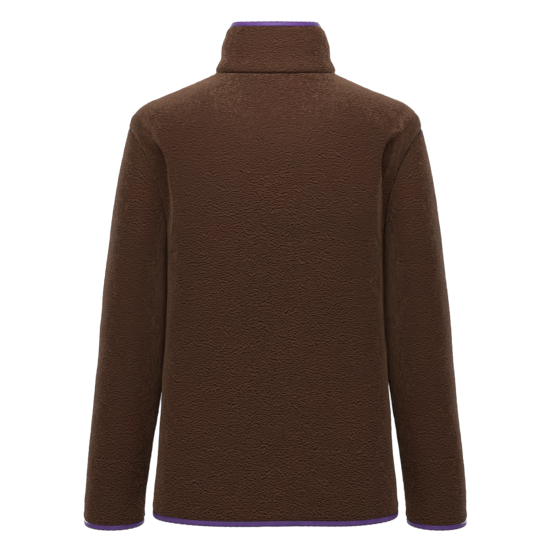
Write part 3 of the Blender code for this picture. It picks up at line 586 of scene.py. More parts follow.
def sleeve_point(u, v, side):
    """A point on the outside of a sleeve. u runs round the arm from the seam under the arm, over the back
    and the front, and v from the armhole (0) to the cuff (1)."""
    turn = math.pi * (1 - 2 * np.asarray(u, float))
    row = seam_row(1 - np.abs(turn) / math.pi)
    start = np.where(
        (turn >= 0)[..., None],
        panel_point(np.ones_like(row), row, 1, side),
        panel_point(np.ones_like(row), row, -1, side),
    )
    low = CUFF_SIDE + (CUFF_MIDDLE - CUFF_SIDE) * np.abs(np.sin(turn)) ** CUFF_CURVE
    height = start[..., 2] + (low - start[..., 2]) * v
    outer, inner, depth, _ = sleeve_sizes(start[..., 2])
    from_middle = (side * start[..., 0] - (outer + inner) / 2) / ((outer - inner) / 2)
    first = np.arctan2(start[..., 1] / depth, from_middle)
    first = np.where(np.isclose(np.abs(turn), math.pi), turn, first)
    angle = first + (turn - first) * ease(v / SLEEVE_SETTLE)
    ring = sleeve_rings(height, angle, side)
    rest = start - sleeve_rings(start[..., 2], first, side)
    return ring + rest * (np.clip(1 - v / SLEEVE_MEET, 0, 1) ** 2)[..., None]


def sleeve_shape(side):
    """shape(u, v) for one sleeve."""

    def shape(u, v):
        point = sleeve_point(u, v, side)
        away = np.clip(u, 0.012, 0.988)  # from the seam, where the two sides meet
        wall = facing(lambda p, q: sleeve_point(p, q, side), away, np.maximum(v, 0.012), 1)
        outer, inner, _, _ = sleeve_sizes(point[:, 2])
        outward = point - stack(side * (outer + inner) / 2, 0.0, point[:, 2])
        wall *= np.where((wall * outward).sum(1) < 0, -1, 1)[:, None]
        first = np.isclose(v, 0.0)
        turn = math.pi * (1 - 2 * u)
        row = seam_row(1 - np.abs(turn) / math.pi)
        for face in (1, -1):
            here = first & ((turn >= -1e-9) if face > 0 else (turn < -1e-9))
            if here.any():
                out, across = armhole_frame(row[here], face, side)
                wall[here] = out
                point[here] += across * GAP / 2
        seam = np.isclose(u, 0.0) | np.isclose(u, 1.0)
        wall[seam & ~first] = unit(wall[seam & ~first] * ONLY_XZ)
        point[seam, 1] += np.where(u[seam] < 0.5, GAP / 2, -GAP / 2)
        return point, wall

    return shape


# ---------------------------------------------------------------- collar


def rim_height(turn):
    round_neck = 1 - np.cos(turn)
    first, second, third = RIM_RISE
    return COLLAR_BACK + round_neck * (first + round_neck * (second + round_neck * third))


def collar_point(turn, rise):
    """A point on the outside of the collar. turn is 0 at the centre of the back and grows to the left."""
    sign = np.where(turn < 0, -1, 1)
    across, deep, base = neck_ring(turn)
    upright = 1 - COLLAR_FRONT_UPRIGHT * np.clip(-np.cos(turn), 0, 1)
    inward = read(COLLAR, "rise", "inward", rise) + read(COLLAR, "rise", "side", rise) * np.sin(turn) ** 2
    inward = (inward + read(COLLAR, "rise", "back", rise) * np.clip(np.cos(turn), 0, 1) ** 2) * upright
    height = base + (rim_height(turn) - base) * rise
    return stack(sign * (across - inward * np.abs(np.sin(turn))), deep - inward * np.cos(turn), height)


def collar_shape(turn, v):
    point = collar_point(turn, v)
    beside = np.where(np.abs(turn) < TURN_STEP, TURN_STEP, turn)
    wall = facing(collar_point, beside, np.clip(v, 0.01, 0.97), 1)
    wall *= np.sign((wall * (point * ONLY_XY)).sum(1))[:, None]
    middle = np.abs(turn) < MIDDLE_HALF
    wall[middle] = unit(wall[middle] * ONLY_YZ)
    first = np.isclose(v, 0.0)
    out, up = neck_frame(np.abs(turn), np.where(turn < 0, -1, 1))
    wall = np.where(first[:, None], out, wall)
    point = point + np.where(first[:, None], up, 0.0) * NECK_GAP / 2
    return point, wall


# ---------------------------------------------------------------- cutting and sewing


def deselect_all():
    for item in bpy.context.selected_objects:
        item.select_set(False)


def select_only(piece):
    deselect_all()
    piece.select_set(True)
    bpy.context.view_layer.objects.active = piece


def name_piece(piece, name):
    piece.name = name
    piece.data.name = name


def get_points(piece):
    flat = np.zeros(len(piece.data.vertices) * 3)
    piece.data.vertices.foreach_get("co", flat)
    return flat.reshape(-1, 3)


def set_points(piece, points):
    piece.data.vertices.foreach_set("co", np.asarray(points, np.float32).ravel())
    piece.data.update()


def modify(piece, kind, **settings):
    """Applies a new modifier with the given settings."""
    modifier = piece.modifiers.new(kind.lower(), kind)
    for name, value in settings.items():
        setattr(modifier, name, value)
    bpy.context.view_layer.objects.active = piece
    bpy.ops.object.modifier_apply(modifier=modifier.name)


def spread(values, spacing):
    """Even steps between the given values, no longer than spacing."""
    steps = []
    for low, high in zip(values[:-1], values[1:]):
        count = max(1, round(abs(high - low) / spacing))
        steps += [low + (high - low) * k / count for k in range(count)]
    return steps + [values[-1]]


def tighten(values, lengths, end):
    """Adds lines just beside one end of a grid, where a seam needs them. lengths run along the values."""
    near = [step if end == "start" else lengths[-1] - step for step in SEAM_LINES]
    room = [min(abs(length - line) for line in near) for length in lengths]
    ends = (0, len(values) - 1)
    kept = [float(value) for k, value in enumerate(values) if k in ends or room[k] > LINE_ROOM]
    return sorted(kept + np.interp(near, lengths, values).tolist())


def flat_cloth(name, columns, rows):
    """A flat grid with its wall. Returns it with each point's column and row, and 1 on its inner side."""
    deselect_all()
    bpy.ops.mesh.primitive_grid_add(x_subdivisions=columns, y_subdivisions=rows, size=1.0)
    piece = bpy.context.object
    name_piece(piece, name)
    modify(piece, "SOLIDIFY", thickness=1.0, offset=-1.0)
    flat = get_points(piece)
    column = np.rint((flat[:, 0] + 0.5) * columns).astype(int)
    row = np.rint((flat[:, 1] + 0.5) * rows).astype(int)
    return piece, column, row, (flat[:, 2] < -0.5).astype(float)


def lay_uv(piece, along, across):
    """The cloth's own lengths, in metres, as its UV map."""
    corners = np.zeros(len(piece.data.loops), int)
    piece.data.loops.foreach_get("vertex_index", corners)
    layer = piece.data.uv_layers.active
    layer.name = "cloth"
    flat = np.stack([along[corners], across[corners]], 1)
    layer.data.foreach_set("uv", flat.astype(np.float32).ravel())


def turn_out(piece):
    """Makes the faces point outwards."""
    select_only(piece)
    bpy.ops.object.mode_set(mode="EDIT")
    bpy.ops.mesh.select_all(action="SELECT")
    bpy.ops.mesh.normals_make_consistent(inside=False)
    bpy.ops.object.mode_set(mode="OBJECT")
    bpy.ops.object.shade_smooth()


def edge_press(distance, kind):
    """How far the cloth's face is pressed in near an edge: at a seam, or under a binding."""
    if kind in SEAM_DIP:
        return SEAM_DIP[kind] * np.exp(-((distance / SEAM_REACH) ** 2))
    pressed = 1 - ease((distance - BOUND_REACH) / BOUND_EASE)
    swollen = SWELL * np.exp(-(((distance - SWELL_FROM) / SWELL_REACH) ** 2)) * (1 - pressed)
    return (WALL / 2 - BOUND_HALF) * pressed - swollen


def edge_distances(points):
    """Each grid point's distance on the cloth from the grid's four edges."""
    across = np.linalg.norm(np.diff(points, axis=0), axis=2)
    along = np.linalg.norm(np.diff(points, axis=1), axis=2)
    from_first = np.concatenate([np.zeros((1, points.shape[1])), np.cumsum(across, 0)])
    from_foot = np.concatenate([np.zeros((points.shape[0], 1)), np.cumsum(along, 1)], 1)
    return {
        "first": from_first,
        "last": from_first[-1:] - from_first,
        "foot": from_foot,
        "top": from_foot[:, -1:] - from_foot,
    }


def pressed_cloth(us, vs, shape, edges):
    """The cloth's outer and inner face on its grid, pressed at its edges, how full its pile is, how strong
    the painted shade in its seams is, and how far each point is from each edge."""
    u, v = np.meshgrid(np.asarray(us, float), np.asarray(vs, float), indexing="ij")
    point, wall = shape(u.ravel(), v.ravel())
    point, wall = point.reshape(*u.shape, 3), wall.reshape(*u.shape, 3)
    distances = edge_distances(point)
    dip, swell, inner, seam_shading = (np.zeros(u.shape) for _ in range(4))
    pile = np.ones(u.shape)
    for edge, kind in edges.items():
        press = edge_press(distances[edge], kind)
        dip = np.maximum(dip, press)
        swell = np.minimum(swell, press)
        pile *= ease((distances[edge] - BARE[kind]) / BARE_EASE)
        if kind == "bound":
            inner = np.maximum(inner, press)
        else:
            # painted shade in the seam's dip, strongest on the seam itself
            shade = SEAM_SHADE[kind] * np.exp(-((distances[edge] / SEAM_SHADE_REACH) ** 2))
            seam_shading = np.maximum(seam_shading, shade)
    outer_face = point - wall * (dip + swell)[..., None]
    inner_face = point - wall * (WALL - inner)[..., None]
    return outer_face, inner_face, pile, seam_shading, distances


def cut_cloth(name, us, vs, shape, edges, middle=None, level="foot"):
    """A cloth piece with its wall, its folds and its pile. The rows of its pile are level with one of its
    edges, and they are counted outwards from its middle column."""
    piece, column, row, inside = flat_cloth(name, len(us) - 1, len(vs) - 1)
    outer_face, inner_face, pile, seam_shading, distances = pressed_cloth(us, vs, shape, edges)
    set_points(piece, np.where(inside[:, None] > 0, inner_face[column, row], outer_face[column, row]))
    across = distances["first"] - distances["first"][len(us) // 2 if middle is None else middle]
    lay_uv(piece, across[column, row], distances[level][column, row])
    # the seams' painted shade, on the outer face only
    seam = piece.data.attributes.new("seam", "FLOAT", "POINT")
    seam.data.foreach_set("value", (seam_shading[column, row] * (1 - inside)).astype(np.float32))
    turn_out(piece)
    raise_pile(piece, pile[column, row] * np.where(inside > 0, PILE_INSIDE, 1.0))
    return piece


# The pile's own relief: the size of its lumps and how far they stand up and down
PILE_RELIEF = table(
    "name size height basis depth",
    ("drape", 0.060, 0.0014, "BLENDER_ORIGINAL", 1),
    ("tufts", 0.0085, 0.0003, "ORIGINAL_PERLIN", 1),
    ("curls", 0.0042, 0.0005, "IMPROVED_PERLIN", 0),
)
PILE_INSIDE = 0.6
PILE_GROUP = "pile"
PILE_LEVELS = 20


def raise_pile(piece, fullness):
    """Moves the cloth's points by the pile's relief, in steps of fullness."""
    group = piece.vertex_groups.new(name=PILE_GROUP)
    for level in range(1, PILE_LEVELS + 1):
        here = np.flatnonzero(np.rint(fullness * PILE_LEVELS) == level)
        group.add(here.tolist(), level / PILE_LEVELS, "REPLACE")
    for layer in PILE_RELIEF:
        name = layer["name"]
        texture = bpy.data.textures.get(name) or bpy.data.textures.new(name, "CLOUDS")
        texture.noise_scale = layer["size"]
        texture.noise_basis = layer["basis"]
        texture.noise_depth = layer["depth"]
        lift = {"mid_level": 0.5, "strength": 2 * layer["height"]}
        modify(piece, "DISPLACE", texture=texture, texture_coords="LOCAL", vertex_group=PILE_GROUP, **lift)
    piece.vertex_groups.clear()


# ---------------------------------------------------------------- bindings


def bound_lines(us, v_edge, v_near, shape):
    """A bound edge of the cloth: its outer face, the way off the cloth there, and both for the inner face."""
    u = np.asarray(us, float)
    sunk = WALL / 2 - BOUND_HALF
    lines = []
    for depth in (sunk, WALL - sunk):
        rows = []
        for v in (v_edge, v_near):
            point, wall = shape(u, np.full(len(u), float(v)))
            rows.append(point - wall * depth)
        lines += [rows[0], unit(rows[0] - rows[1])]
    return lines


def fold_profile():
    """A binding's profile: for each point the leg it is on, and how far down the leg it is, or its turn."""
    steps = (1.0, 0.62, 0.28)
    turns = [("fold", math.pi / 2 * (1 - 2 * k / BINDING_ROUND)) for k in range(BINDING_ROUND + 1)]
    return [("outer", at) for at in steps] + turns + [("inner", at) for at in steps[::-1]]


def bind(name, lines):
    """A strip folded round a cloth edge, with the small puckers of its stretch."""
    edge, off, inner_edge, inner_off = lines
    out = unit(edge - inner_edge)
    past = unit(off + inner_off)
    middle = (edge + inner_edge) / 2
    half = np.linalg.norm(edge - inner_edge, axis=1) / 2
    length = run_length(middle)
    profile = fold_profile()
    piece, column, row, inside = flat_cloth(name, len(edge) - 1, len(profile) - 1)
    faces = []
    for wall in (0.0, 1.0):
        air = half + BINDING_AIR + BINDING_WALL * (1 - wall)
        grid = np.zeros((len(edge), len(profile), 3))
        for k, (leg, at) in enumerate(profile):
            pucker = 0.0
            if wall == 0.0:
                wave = length / PUCKER_LENGTH + 0.35 * np.sin(length * 61)
                pucker = PUCKER * np.sin(2 * math.pi * wave + k * 0.35)
            if leg == "fold":
                turned = out * math.sin(at) + past * math.cos(at)
                grid[:, k] = middle + turned * (air + pucker)[:, None]
            else:
                sign, way = (1, -off) if leg == "outer" else (-1, -inner_off)
                beside = air + pucker - BORDER_PULL * (at == 1.0)
                grid[:, k] = middle + sign * out * beside[:, None] + way * BINDING_HEIGHT * at
        faces.append(grid)
    set_points(piece, np.where(inside[:, None] > 0, faces[1][column, row], faces[0][column, row]))
    lay_uv(piece, length[column], run_length(faces[0][0])[row])
    turn_out(piece)
    return piece


# ---------------------------------------------------------------- zip


def opening_edge(step):
    """A point on the outside of the cloth's edge at the opening, at a step from the hem (0) over the neck
    seam (1) to the collar's rim (2)."""
    body = panel_point(np.zeros_like(step), np.minimum(step, 1.0), -1, 1)
    collar = collar_point(np.full_like(step, math.pi - opening_turn()), np.clip(step - 1, 0, 1))
    return np.where((step <= 1)[..., None], body, collar)


def front_line(across, step, inward):
    """A point behind the cloth's outer face beside the opening, and the ways up and back from it."""
    step = np.asarray(step, float)
    across = np.broadcast_to(np.asarray(across, float), step.shape)
    radius = BODY_RADIUS + (NECK_RADIUS - BODY_RADIUS) * ease((step - NECK_FROM) / NECK_EASE)
    inward = inward + (across**2 - OPENING_HALF**2) / (2 * radius)
    below, above = (opening_edge(np.clip(step + offset, 0, 2)) for offset in (-LINE_STEP, LINE_STEP))
    along = unit((above - below) * ONLY_YZ)
    back = stack(0.0, along[..., 2], -along[..., 1])
    point = opening_edge(step) + back * inward[..., None]
    point[..., 0] = across
    return point, along, back


def even_steps(first, last, spacing):
    """Steps along the opening that are spacing apart on the cloth."""
    steps = np.linspace(first, last, FINE_STEPS)
    line, _, _ = front_line(0.0, steps, np.full_like(steps, TAPE_DEPTH))
    length = run_length(line)
    count = int(length[-1] / spacing)
    return np.interp(np.arange(count + 1) * spacing, length, steps)


TOOTH_PITCH = 0.0030
TOOTH_WIDE = 0.0034
TOOTH_TALL = 0.0014
TOOTH_THICK = 0.0021
TOOTH_PAST = 0.0009  # past the middle of the chain
TOOTH_NOSE = (1.0, 0.8, 0.72)
TOOTH_SOFT = 0.00028
TEETH_OFFSET = 0.0023  # how much further along one side's teeth start
TAPE_GRID = 0.006


def zip_tape(name, side):
    steps = even_steps(TAPE_BOTTOM, TAPE_TOP, TAPE_GRID)
    widths = np.linspace(TAPE_INNER, TAPE_OUTER, 5)
    piece, column, row, inside = flat_cloth(name, len(widths) - 1, len(steps) - 1)
    depth = TAPE_DEPTH + (inside - 0.5) * TAPE_WALL
    points, _, _ = front_line(side * widths[column], steps[row], depth)
    set_points(piece, points)
    lay_uv(piece, widths[column], row * TAPE_GRID)
    turn_out(piece)
    return piece


def one_tooth():
    """A moulded tooth: a block with a narrower nose and soft edges."""
    deselect_all()
    bpy.ops.mesh.primitive_cube_add(size=1.0)
    tooth = bpy.context.object
    set_points(tooth, get_points(tooth) * np.array([TOOTH_WIDE, TOOTH_THICK, TOOTH_TALL]))
    points = get_points(tooth)
    points[points[:, 0] < 0] *= np.array(TOOTH_NOSE)
    set_points(tooth, points)
    modify(tooth, "BEVEL", width=TOOTH_SOFT, segments=1)
    return tooth


def zip_chain():
    """All the teeth of the closed zip, as one piece."""
    tooth = one_tooth()
    shape = get_points(tooth)
    faces = [list(face.vertices) for face in tooth.data.polygons]
    bpy.data.objects.remove(tooth, do_unlink=True)
    points, polygons = [], []
    for side in (1, -1):
        first = TAPE_BOTTOM + (0.0 if side > 0 else TEETH_OFFSET)
        steps = even_steps(first, 1 + TEETH_TOP, TOOTH_PITCH)
        line, along, back = front_line(0.0, steps, np.full_like(steps, TAPE_DEPTH))
        for place, up, inward in zip(line, along, back):
            first_corner = len(points) * len(shape)
            polygons += [[corner + first_corner for corner in face] for face in faces]
            across = (shape[:, 0] + TOOTH_WIDE / 2 - TOOTH_PAST) * side
            tall, thick = shape[:, 2:3] * up, shape[:, 1:2] * inward
            points.append(place + across[:, None] * np.array([1.0, 0, 0]) + tall + thick)
    mesh = bpy.data.meshes.new("zip_chain")
    mesh.from_pydata(np.concatenate(points).tolist(), [], polygons)
    chain = bpy.data.objects.new("zip_chain", mesh)
    bpy.context.collection.objects.link(chain)
    turn_out(chain)
    return chain


SLIDER_WIDE = 0.0092
SLIDER_TALL = 0.0105
SLIDER_SLOT = 0.0028
SLIDER_PLATE = 0.0011
SLIDER_SOFT = 0.00045
SLIDER_TAPER = 0.72
SLIDER_REACH = 0.05  # the part of the opening that its lean is taken from
POST_HALF = 0.0021
RIDGE_HALF = 0.0013
SMALL_SOFT = 0.0003
EYE_OUT = 0.0021
EYE_RADIUS = 0.0017
EYE_WIRE = 0.00055
PULL_LONG = 0.026
PULL_WIDE = 0.0056
PULL_THICK = 0.0013
SLOT_HALF = 0.0014
SLOT_LONG = 0.0036
GRIP_HALF = 0.0017
GRIP_ENDS = (0.0035, 0.0125)  # above the pull tab's foot
CUTTER_HALF = 0.003


def block(name, low, high, soft, segments=3, taper=1.0):
    """A block with soft edges, from its lowest to its highest corner; taper narrows its lower end."""
    deselect_all()
    low, high = np.array(low), np.array(high)
    bpy.ops.mesh.primitive_cube_add(size=1.0)
    piece = bpy.context.object
    name_piece(piece, name)
    points = get_points(piece)
    points[:, 0] *= np.where(points[:, 2] < 0, taper, 1.0)
    set_points(piece, (low + high) / 2 + points * (high - low))
    modify(piece, "BEVEL", width=soft, segments=segments)
    return piece


def join(pieces, name):
    deselect_all()
    for piece in pieces:
        piece.select_set(True)
    bpy.context.view_layer.objects.active = pieces[0]
    bpy.ops.object.join()
    name_piece(pieces[0], name)
    return pieces[0]


def shade_by_angle(piece, degrees=35):
    select_only(piece)
    bpy.ops.object.shade_smooth_by_angle(angle=math.radians(degrees))


def slider_place():
    """Where the slider sits: a point between the two tapes, and how the zip leans there."""
    at = np.array([1 + TEETH_TOP - SLIDER_REACH, 1 + TEETH_TOP + SLIDER_REACH])
    ends, _, _ = front_line(0.0, at, np.full(2, TAPE_DEPTH))
    along = Vector(ends[1] - ends[0]).normalized()
    return Vector(ends.mean(0)), math.atan2(-along.y, along.z)


def zip_slider():
    place, lean = slider_place()
    wide, tall, face = SLIDER_WIDE / 2, SLIDER_TALL / 2, SLIDER_SLOT / 2
    outer = -face - SLIDER_PLATE
    plate = {"soft": SLIDER_SOFT, "taper": SLIDER_TAPER}
    front = block("front", (-wide, outer, -tall), (wide, -face, tall), **plate)
    rear = block("rear", (-wide, face, -tall), (wide, face + SLIDER_PLATE, tall), **plate)
    post_low, post_high = (-POST_HALF, -face - 0.0004, 0.0012), (POST_HALF, face + 0.0004, tall - 0.0006)
    post = block("post", post_low, post_high, SMALL_SOFT)
    ridge_low = (-RIDGE_HALF, outer - 0.0007, -tall + 0.0014)
    ridge_high = (RIDGE_HALF, outer + 0.0003, tall - 0.0012)
    ridge = block("ridge", ridge_low, ridge_high, SMALL_SOFT)
    deselect_all()
    bpy.ops.mesh.primitive_torus_add(
        major_radius=EYE_RADIUS, minor_radius=EYE_WIRE, major_segments=32, minor_segments=12,
        location=(0, outer - EYE_OUT, 0), rotation=(0, math.pi / 2, 0),
    )
    eye = bpy.context.object
    bpy.ops.object.transform_apply(location=True, rotation=True, scale=True)
    slider = join([front, rear, post, ridge, eye], "slider")
    slider.data.transform(Matrix.Translation(place) @ Matrix.Rotation(lean, 4, "X"))
    shade_by_angle(slider)
    return slider


def zip_pull():
    """The pull tab, hanging from the slider's eye, with a slot for the eye and an opening to grip."""
    place, lean = slider_place()
    from_slider = Vector((0, -SLIDER_SLOT / 2 - SLIDER_PLATE - EYE_OUT, 0))
    hinge = place + Matrix.Rotation(lean, 3, "X") @ from_slider
    thick, wide = PULL_THICK / 2, PULL_WIDE / 2
    pull = block("pull", (-wide, -thick, thick - PULL_LONG), (wide, thick, thick), 0.00001, 1)
    slot_low, slot_high = (-SLOT_HALF, -CUTTER_HALF, -thick - SLOT_LONG), (SLOT_HALF, CUTTER_HALF, -thick)
    grip_foot, grip_top = (end - PULL_LONG for end in GRIP_ENDS)
    grip_low, grip_high = (-GRIP_HALF, -CUTTER_HALF, grip_foot), (GRIP_HALF, CUTTER_HALF, grip_top)
    slot = block("slot", slot_low, slot_high, 0.0005, 4)
    grip = block("grip", grip_low, grip_high, 0.0014, 6)
    for cutter in (slot, grip):
        modify(pull, "BOOLEAN", operation="DIFFERENCE", object=cutter)
        bpy.data.objects.remove(cutter, do_unlink=True)
    edge = {"limit_method": "ANGLE", "angle_limit": math.radians(40)}
    modify(pull, "BEVEL", width=SMALL_SOFT, segments=2, **edge)
    pull.data.transform(Matrix.Translation(hinge))
    shade_by_angle(pull)
    return pull


# ---------------------------------------------------------------- materials

PILE_ROWS = (("Rows per Metre", 300.0), ("Waviness", 0.010), ("Stretch", 1.5))
ROWS_PER_CELL = 1.3
GABOR_TURN = 4  # the socket that turns the rows, one of two with the same name
# the colour of the painted shade in a seam's dip
SEAM_SHADE_COLOUR = (0.010, 0.0045, 0.0030, 1.0)

# A colour ramp's stops: where each is, and its colour
# The fleece's colour by the pile's height: painted shade in its hollows, painted light on its tips
FLEECE_PAINTED_SHADING = (
    (0.15, (0.0165, 0.0071, 0.0042)),
    (0.50, (0.050, 0.0218, 0.0130)),
    (0.85, (0.092, 0.0415, 0.0255)),
)
FLEECE_TONES = ((0.36, (1.05, 0.98, 0.96)), (0.50, (1.0, 1.0, 1.0)), (0.66, (0.98, 1.01, 0.95)))
BINDING_TONES = ((0.3, (0.080, 0.026, 0.172)), (0.7, (0.114, 0.039, 0.228)))
TAPE_TONES = ((0.0, (0.018, 0.010, 0.007)), (1.0, (0.045, 0.026, 0.018)))
TEETH_TONES = ((0.3, (0.030, 0.018, 0.013)), (0.7, (0.055, 0.036, 0.027)))
METAL_TONES = ((0.3, (0.070, 0.050, 0.040)), (0.7, (0.120, 0.090, 0.072)))

# Painted light and shade across a binding, from its border (0) to its fold (1) and past it: painted shadow of
# the pile at the border, a painted highlight low on the outer leg, and painted shade round the fold and under
# it
BINDING_PAINTED_LIGHT = ((0.00, 0.50), (0.14, 0.78), (0.48, 0.74), (0.68, 1.00), (0.84, 0.80), (1.00, 0.55))
BINDING_PAINTED_LIGHT_RAMP = tuple((at, (grey, grey, grey)) for at, grey in BINDING_PAINTED_LIGHT)

RIB_LENGTH = 0.0006
KNIT_LENGTH = 0.0008
STITCH_LENGTH = 0.0026
STITCH_LINE = 0.0012  # its place from the border
STITCH_HALF = 0.0005
WEFT_LENGTH = 0.0007
HERRINGBONE = 0.0012


def new_material(name):
    material = bpy.data.materials.new(name)
    material.use_nodes = True
    return material, material.node_tree, material.node_tree.nodes["Principled BSDF"]


def feed(tree, node, inputs):
    """Gives a node's inputs their values, or links them to the outputs that are given instead."""
    for key, value in inputs.items():
        if isinstance(value, bpy.types.NodeSocket):
            tree.links.new(value, node.inputs[key])
        else:
            node.inputs[key].default_value = value


def add_node(tree, kind, inputs=None, **settings):
    node = tree.nodes.new("ShaderNode" + kind)
    for name, value in settings.items():
        setattr(node, name, value)
    feed(tree, node, inputs or {})
    return node


def calc(tree, operation, first, second=0.0, clamp=False):
    node = add_node(tree, "Math", {0: first, 1: second}, operation=operation, use_clamp=clamp)
    return node.outputs[0]


def calc_vector(tree, operation, inputs):
    return add_node(tree, "VectorMath", inputs, operation=operation).outputs[0]


def wave(tree, along, length):
    return calc(tree, "SINE", calc(tree, "MULTIPLY", along, 2 * math.pi / length))


def noise(tree, place, scale, detail, roughness=0.5):
    inputs = {"Vector": place, "Scale": scale, "Detail": detail, "Roughness": roughness}
    return add_node(tree, "TexNoise", inputs).outputs


def mix_colours(tree, first, second, factor=1.0, blend="MULTIPLY"):
    inputs = {"Factor": factor, "A": first, "B": second}
    return add_node(tree, "Mix", inputs, data_type="RGBA", blend_type=blend).outputs["Result"]


def colour_ramp(tree, factor, stops):
    ramp = add_node(tree, "ValToRGB", {"Fac": factor})
    elements = ramp.color_ramp.elements
    elements[0].position, elements[1].position = stops[0][0], stops[-1][0]
    for position, _ in stops[1:-1]:
        elements.new(position)
    for element, (_, colour) in zip(elements, stops):
        element.color = (*colour, 1)
    return ramp.outputs["Color"]


def coat(tree, shader, height, strength, distance, inputs):
    """Gives a shader its inputs, and a fine bump of the given height."""
    bump = add_node(tree, "Bump", {"Strength": strength, "Distance": distance, "Height": height})
    feed(tree, shader, {"Normal": bump.outputs["Normal"], **inputs})


def cloth_place(tree):
    """The places on a cloth piece: its outputs, and the lengths along and across the cloth."""
    place = add_node(tree, "TexCoord").outputs
    split = add_node(tree, "SeparateXYZ", {0: place["UV"]}).outputs
    return place, split["X"], split["Y"]


def pile_group():
    """Short curly pile: ridges in short wavy rows that run into each other, with finer curls on them."""
    group = bpy.data.node_groups.new("curly_pile", "ShaderNodeTree")
    new_socket = group.interface.new_socket
    new_socket("Vector", in_out="INPUT", socket_type="NodeSocketVector")
    for name, value in PILE_ROWS:
        new_socket(name, in_out="INPUT", socket_type="NodeSocketFloat").default_value = value
    for name in ("Height", "Nub Shading", "Patches"):
        new_socket(name, in_out="OUTPUT", socket_type="NodeSocketFloat")
    given = group.nodes.new("NodeGroupInput").outputs
    end = group.nodes.new("NodeGroupOutput")

    warp = noise(group, given["Vector"], 45.0, 1.0)["Color"]
    centre = calc_vector(group, "SUBTRACT", {0: warp, 1: (0.5, 0.5, 0.5)})
    bend = calc_vector(group, "SCALE", {0: centre, "Scale": given["Waviness"]})
    bent = calc_vector(group, "ADD", {0: given["Vector"], 1: bend})
    stretch = add_node(group, "CombineXYZ", {"X": 1.0, "Y": given["Stretch"], "Z": 1.0})
    rows = calc_vector(group, "MULTIPLY", {0: bent, 1: stretch.outputs[0]})

    cells = calc(group, "DIVIDE", given["Rows per Metre"], ROWS_PER_CELL)
    ridges = add_node(group, "TexGabor", gabor_type="2D")
    shape = {"Frequency": ROWS_PER_CELL, "Anisotropy": 0.56, GABOR_TURN: math.pi / 2}
    feed(group, ridges, {"Vector": bent, "Scale": cells, **shape})
    curls = noise(group, rows, 620.0, 2.0, 0.6)["Fac"]
    patches = noise(group, given["Vector"], 9.0, 3.0, 0.55)["Fac"]

    steep = calc(group, "MULTIPLY", calc(group, "SUBTRACT", ridges.outputs["Value"], 0.5), 2.2)
    fine = calc(group, "MULTIPLY", curls, 0.6)
    height = calc(group, "ADD", calc(group, "ADD", steep, fine), 0.2)
    # the pile's height, clamped, which paints shade in its hollows and light on its tips
    nub_shading = calc(group, "MULTIPLY", height, 1.0, True)
    feed(group, end, {"Height": height, "Nub Shading": nub_shading, "Patches": patches})
    return group


def fleece_material():
    """Brown curly fleece: painted shade in the pile's hollows, painted light on its tips, faint warm and cool
    patches.
    """
    material, tree, shader = new_material("brown_fleece")
    place = add_node(tree, "TexCoord").outputs["UV"]
    pile = add_node(tree, "Group", node_tree=pile_group())
    feed(tree, pile, {"Vector": place})
    # painted shade in the pile's hollows and painted light on its tips
    shade = colour_ramp(tree, pile.outputs["Nub Shading"], FLEECE_PAINTED_SHADING)
    tone = colour_ramp(tree, pile.outputs["Patches"], FLEECE_TONES)
    toned = mix_colours(tree, shade, tone)
    # the seams' painted shade, mixed over the fleece's colour
    seam = add_node(tree, "Attribute", attribute_name="seam").outputs["Fac"]
    coat(tree, shader, pile.outputs["Height"], 1.0, 0.0013, {
        "Base Color": mix_colours(tree, toned, SEAM_SHADE_COLOUR, seam, "MIX"),
        "Roughness": 0.95,
        "Specular IOR Level": 0.04,
        "Sheen Weight": 0.30,
        "Sheen Roughness": 0.28,
        "Sheen Tint": (1.0, 0.56, 0.34, 1.0),
    })
    return material


def binding_material():
    """Purple stretch tape: fine ribs and knit, a line of stitches near one border, a soft shine, painted
    light and shade.
    """
    material, tree, shader = new_material("purple_binding")
    place, along, across = cloth_place(tree)
    rib, knit = wave(tree, across, RIB_LENGTH), wave(tree, along, KNIT_LENGTH)
    weave = calc(tree, "ADD", calc(tree, "MULTIPLY", rib, 0.5), calc(tree, "MULTIPLY", knit, 0.35))
    stitch = wave(tree, along, STITCH_LENGTH)
    near = calc(tree, "ABSOLUTE", calc(tree, "SUBTRACT", across, STITCH_LINE))
    line = calc(tree, "SUBTRACT", 1.0, calc(tree, "MULTIPLY", near, 1 / STITCH_HALF), True)
    dash = calc(tree, "MULTIPLY", line, calc(tree, "GREATER_THAN", stitch, -0.3))
    height = calc(tree, "ADD", weave, calc(tree, "MULTIPLY", dash, 3.0))
    tone = noise(tree, place["Object"], 60.0, 3.0)["Fac"]
    colour = colour_ramp(tree, tone, BINDING_TONES)
    # painted shadow at the border, a painted highlight low on the outer leg, painted shade round the fold
    painted_light = colour_ramp(tree, calc(tree, "DIVIDE", across, BINDING_HEIGHT), BINDING_PAINTED_LIGHT_RAMP)
    coat(tree, shader, height, 0.35, 0.00012, {
        "Base Color": mix_colours(tree, colour, painted_light),
        "Roughness": 0.45,
        "Specular IOR Level": 0.35,
        "Sheen Weight": 0.15,
        "Sheen Roughness": 0.3,
        "Sheen Tint": (0.80, 0.60, 1.0, 1.0),
    })
    return material


def tape_material():
    """Brown zip tape in a fine herringbone."""
    material, tree, shader = new_material("zip_tape_weave")
    _, along, across = cloth_place(tree)
    lean = calc(tree, "ADD", across, calc(tree, "PINGPONG", along, HERRINGBONE))
    weft = wave(tree, lean, WEFT_LENGTH)
    height = calc(tree, "ADD", calc(tree, "MULTIPLY", weft, 0.5), 0.5)
    colour = colour_ramp(tree, height, TAPE_TONES)
    coat(tree, shader, height, 0.5, 0.00015, {"Base Color": colour, "Roughness": 0.85})
    return material


